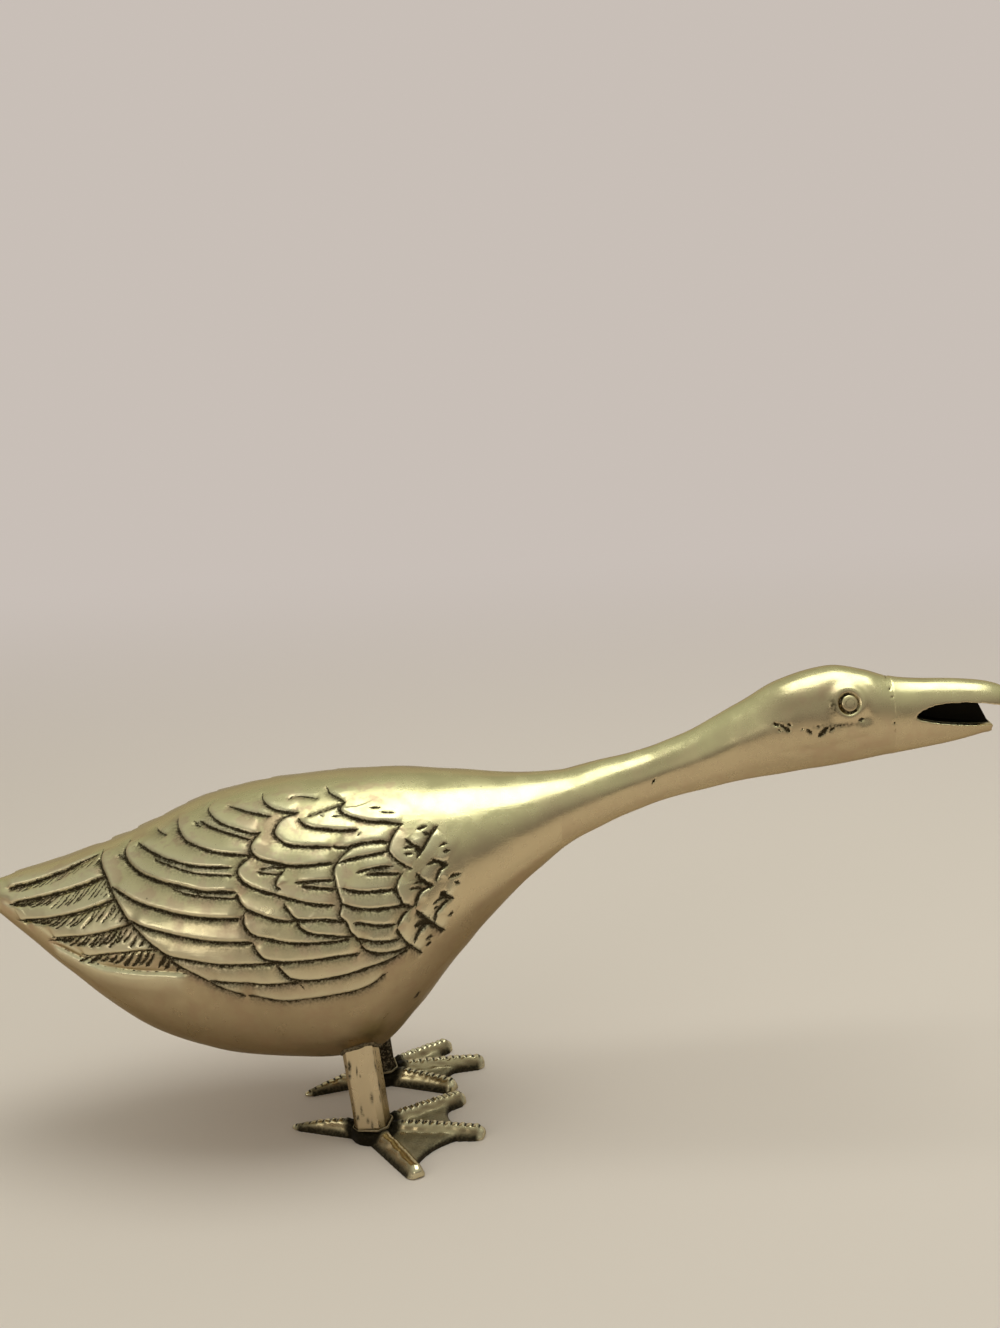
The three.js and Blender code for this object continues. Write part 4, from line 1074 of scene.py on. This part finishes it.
def brass(name, bright, warm, grime_and_shade, roughness, pitting, speckle):
    """Aged brass: uneven tint, lighter on upward faces and darker below as painted light, tarnish held in the
    cuts, which also carries painted shade, rubbed edges with painted highlights, fine scratches and casting
    pits.
    """
    material = bpy.data.materials.new(name)
    material.use_nodes = True
    tree = material.node_tree
    shader = tree.nodes["Principled BSDF"]
    place = add_node(tree, "TexCoord").outputs["Object"]

    def noise(scale, detail, stretch=(1, 1, 1)):
        mapping = add_node(tree, "Mapping", {"Vector": place, "Scale": stretch})
        inputs = {"Vector": mapping.outputs[0], "Scale": scale, "Detail": detail, "Roughness": 0.6}
        return add_node(tree, "TexNoise", inputs).outputs["Fac"]

    def painted(share):
        return add_node(tree, "Attribute", attribute_name=share).outputs["Fac"]

    def times(first, second):
        return combined(tree, "MULTIPLY", first, second)

    def plus(first, second):
        return combined(tree, "ADD", first, second)

    def highest(first, second):
        return combined(tree, "MAXIMUM", first, second)

    cloud = noise(38, 4)
    blotch = noise(160, 4)
    speck = noise(1500, 3)
    scratch = noise(900, 2, (0.06, 0.5, 1))
    pits = add_node(tree, "TexVoronoi", {"Vector": place, "Scale": 420}).outputs["Distance"]
    pit = times(ranged(tree, pits, 0.16, 0.08), ranged(tree, blotch, 0.6, 0.72))

    # Tarnish held in the cuts and pits; the same share also stands in as painted shade in the mouth, on the
    # far leg and on the feet's low parts
    patina_and_shade_share = painted("patina")
    broken = ranged(tree, speck, 0.35, 0.65, 1 - speckle, 1 + speckle)
    tarnish_and_shade = ranged(tree, times(patina_and_shade_share, broken), 0.04, 0.85)
    tarnish_and_shade = highest(tarnish_and_shade, ranged(tree, patina_and_shade_share, 0.9, 1))
    tarnish_and_shade = highest(tarnish_and_shade, times(pit, pitting))

    # The cut lines: ragged, and wider on the tucked side, where the distance is negative
    offset = times(combined(tree, "SUBTRACT", painted("line_side"), 0.5), 2 * LINE_REACH)
    aside = highest(offset, times(offset, -0.42))
    waver = ranged(tree, noise(2400, 3), 0.35, 0.65, -1, 1)
    ragged = plus(aside, times(waver, ranged(tree, offset, 0.4, -0.8, 0.5, 1.3)))
    on_line = ranged(tree, painted("line_near"), 1 - 3.4 / LINE_REACH, 1 - 2.2 / LINE_REACH)
    line = times(ranged(tree, ragged, 1.4, 0.5), on_line)
    tarnish_and_shade = highest(tarnish_and_shade, line)

    # The tint: lighter on upward faces and warmer on downward ones, as painted highlight and painted shade;
    # rosy where dull and darker on dull downward faces as painted shade; then browned by tarnish and painted
    # shade, lightened by rubbing and painted highlights, and tarnished
    dull = painted("dull")
    facing = add_node(tree, "SeparateXYZ", {0: add_node(tree, "NewGeometry").outputs["Normal"]}).outputs["Z"]
    lit_from_above = plus(facing, ranged(tree, cloud, 0.3, 0.7, -0.2, 0.2))
    tint = mixed(tree, ranged(tree, lit_from_above, 0, 0.95), warm, bright)
    tint = mixed(tree, times(dull, ranged(tree, blotch, 0.48, 0.62, 0, 0.7)), tint, ROSY)
    # Painted shade: dull faces turned downwards take a shaded tint
    tint = mixed(tree, times(dull, ranged(tree, lit_from_above, 0.3, -0.4, 0, 0.75)), tint, SHADED)
    # Browned by tarnish and painted shade
    tint = mixed(tree, painted("brown_and_shade"), tint, BROWN_AND_SHADE)
    # Lightened by rubbing and painted highlights
    tint = mixed(tree, times(painted("crest"), 0.75), tint, RUBBED_AND_HIGHLIGHT)
    # Nearly black where the share is high: deep tarnish, and painted shade in the mouth and on the far leg
    deep = mixed(tree, ranged(tree, patina_and_shade_share, 0.6, 1), grime_and_shade, BLACKENED_AND_SHADE)
    tree.links.new(mixed(tree, tarnish_and_shade, tint, deep), shader.inputs["Base Color"])
    tree.links.new(ranged(tree, tarnish_and_shade, 0, 1, 1, 0.2), shader.inputs["Metallic"])
    shader.inputs["Specular IOR Level"].default_value = 0.15
    shader.inputs["Specular Tint"].default_value = SHEEN
    matt = ranged(tree, blotch, 0.3, 0.7, roughness - 0.06, roughness + 0.09)
    matt = plus(plus(matt, times(dull, 0.08)), times(tarnish_and_shade, 0.3))
    tree.links.new(matt, shader.inputs["Roughness"])

    # Fine grain and scratches, then the cut of each line
    surface = plus(times(scratch, 0.5), times(speck, 0.35))
    surface = combined(tree, "SUBTRACT", surface, times(pit, 0.1 * pitting))
    grain = ranged(tree, dull, 0, 1, 0.22, 0.32)
    bump = add_node(tree, "Bump", {"Height": surface, "Strength": grain, "Distance": 0.0002})
    groove = combined(tree, "SUBTRACT", 1, line)
    carved = {"Height": groove, "Strength": 1, "Distance": 0.0003, "Normal": bump.outputs[0]}
    tree.links.new(add_node(tree, "Bump", carved).outputs[0], shader.inputs["Normal"])
    return material


POLISHED = brass(
    "polished_brass",
    bright=(0.8, 0.745, 0.41, 1),
    warm=(0.64, 0.52, 0.32, 1),
    grime_and_shade=(0.045, 0.033, 0.015, 1),
    roughness=0.24, pitting=0.6, speckle=0.4,
)
CAST = brass(
    "cast_brass",
    bright=(0.63, 0.55, 0.33, 1),
    warm=(0.35, 0.26, 0.145, 1),
    grime_and_shade=(0.02, 0.016, 0.008, 1),
    roughness=0.19, pitting=1, speckle=0.1,
)
WORN = brass(
    "worn_brass",
    bright=(0.7, 0.605, 0.39, 1),
    warm=(0.64, 0.525, 0.34, 1),
    grime_and_shade=(0.04, 0.028, 0.015, 1),
    roughness=0.3, pitting=1.6, speckle=0.3,
)
FILLER = brass(
    "filler_brass",
    bright=(0.57, 0.5, 0.32, 1),
    warm=(0.46, 0.37, 0.23, 1),
    grime_and_shade=(0.03, 0.022, 0.01, 1),
    roughness=0.4, pitting=1, speckle=0.2,
)


def dress(piece, node, material):
    piece.data.materials.clear()
    piece.data.materials.append(material)
    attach(piece, "root")
    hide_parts(node)


def dress_goose():
    body = body_skin()
    stud = eye_stud_skin()
    for side, mirror in ("right", False), ("left", True):
        dress(body.build(f"{side}_feathered_half", mirror), f"{side}_body_half", POLISHED)
        dress(stud.build(f"{side}_eye", mirror), f"{side}_eye_stud", POLISHED)
        dress(foot_piece(side), f"{side}_foot", CAST)
        # The far leg's inner side takes painted shade
        shade = 0 if side == "right" else 0.8
        leg = bar_piece(side, "leg", "shank", rounds=8, tarnish_and_shade=0, inner_shade=shade, stains=45)
        dress(leg, f"{side}_leg", WORN)
        for place, tarnish_and_shade, lift in ("belly", 0.6, 0.7), ("ankle", 0.35, 0):
            part, name = f"{place}_fillet", f"{place}_braze"
            braze = bar_piece(side, part, name, rounds=25, tarnish_and_shade=tarnish_and_shade, lift=lift)
            dress(braze, f"{side}_{part}", FILLER)
    dress(head_skin().build("brass_neck_and_head"), "neck_and_head", POLISHED)
    dress(beak_piece(), "beak", POLISHED)


# Camera: distance from the goose's middle plane, height and offset along the goose, in millimetres
CAMERA_DISTANCE = 476
CAMERA_HEIGHT = 245
CAMERA_ALONG = 5.5
CAMERA_PITCH = 13.5
CAMERA_ROLL = 3.2
IMAGE_WIDTH = 1000
FOCAL_PIXELS = 1778
SENSOR_WIDTH = 36

# Studio colours: paper floor, backdrop glow, and the room low and high
PAPER = (0.82, 0.735, 0.67, 1)
GLOW = (0.58, 0.52, 0.475, 1)
ROOM_LOW = (0.26, 0.24, 0.21, 1)
ROOM_HIGH = (0.48, 0.48, 0.42, 1)


def make_camera():
    data = bpy.data.cameras.new("camera")
    data.sensor_fit = "HORIZONTAL"
    data.sensor_width = SENSOR_WIDTH
    data.lens = SENSOR_WIDTH * FOCAL_PIXELS / IMAGE_WIDTH
    data.clip_start = 0.01
    camera = placed("camera", data)
    place = Matrix.Translation(Vector((CAMERA_ALONG, SEAM_Y - CAMERA_DISTANCE, CAMERA_HEIGHT)) * MM)
    tilt = Matrix.Rotation(math.radians(90 - CAMERA_PITCH), 4, "X")
    roll = Matrix.Rotation(math.radians(-CAMERA_ROLL), 4, "Z")
    camera.matrix_world = place @ tilt @ roll
    bpy.context.scene.camera = camera


def make_backdrop():
    """Pale floor that sweeps up into a backdrop."""
    reach = 4
    flat = 1.4
    radius = 0.7
    top = 1.2
    steps = 24
    sweep = [(-reach, 0), (flat, 0)]
    for step in range(1, steps + 1):
        bend = math.radians(90) * step / steps
        sweep.append((flat + radius * math.sin(bend), radius - radius * math.cos(bend)))
    sweep.append((flat + radius, top))
    points = [(x, y, z) for y, z in sweep for x in (-reach, reach)]
    faces = [(2 * i, 2 * i + 1, 2 * i + 3, 2 * i + 2) for i in range(len(sweep) - 1)]
    mesh = bpy.data.meshes.new("backdrop")
    mesh.from_pydata(points, [], faces)
    mesh.shade_smooth()
    backdrop = placed("backdrop", mesh)
    paper = bpy.data.materials.new("backdrop_paper")
    paper.use_nodes = True
    tree = paper.node_tree
    shader = tree.nodes["Principled BSDF"]
    shader.inputs["Base Color"].default_value = PAPER
    shader.inputs["Roughness"].default_value = 0.9
    shader.inputs["Specular IOR Level"].default_value = 0.1
    rays = add_node(tree, "LightPath").outputs
    seen = combined(tree, "ADD", rays["Is Camera Ray"], rays["Is Glossy Ray"])
    seen = combined(tree, "ADD", seen, rays["Is Transmission Ray"])
    distance = add_node(tree, "SeparateXYZ", {0: add_node(tree, "TexCoord").outputs["Object"]}).outputs["Y"]
    share = combined(tree, "MULTIPLY", seen, ranged(tree, distance, 0.15, 0.9))
    glow = add_node(tree, "Emission", {"Color": GLOW}).outputs[0]
    blend = add_node(tree, "MixShader", {0: share, 1: shader.outputs[0], 2: glow}).outputs[0]
    tree.links.new(blend, tree.nodes["Material Output"].inputs["Surface"])
    mesh.materials.append(paper)


def softbox(name, place, aim, size, power, colour):
    data = bpy.data.lights.new(name, "AREA")
    data.shape = "RECTANGLE"
    data.size, data.size_y = size
    data.energy = power
    data.color = colour
    lamp = placed(name, data)
    lamp.location = place
    lamp.rotation_euler = (Vector(aim) - Vector(place)).to_track_quat("-Z", "Y").to_euler()


def make_light():
    softbox(
        "overhead",
        place=(0.2, 0.04, 0.9),
        aim=(0.2, 0.04, 0),
        size=(0.75, 0.59),
        power=3.2,
        colour=(0.97, 1, 0.94),
    )
    softbox(
        "left_front",
        place=(-0.85, -0.95, 0.5),
        aim=(-0.05, 0, 0.05),
        size=(0.7, 0.4),
        power=1.5,
        colour=(1, 0.96, 0.86),
    )
    world = bpy.data.worlds.new("studio")
    bpy.context.scene.world = world
    world.use_nodes = True
    tree = world.node_tree
    direction = add_node(tree, "TexCoord").outputs["Generated"]
    height = add_node(tree, "SeparateXYZ", {0: direction}).outputs["Z"]
    wall = mixed(tree, ranged(tree, height, 0, 0.8), ROOM_LOW, ROOM_HIGH)
    tree.links.new(wall, tree.nodes["Background"].inputs["Color"])
    tree.nodes["Background"].inputs["Strength"].default_value = 1


dress_goose()
make_camera()
make_backdrop()
make_light()
bpy.context.scene.view_settings.view_transform = "Standard"
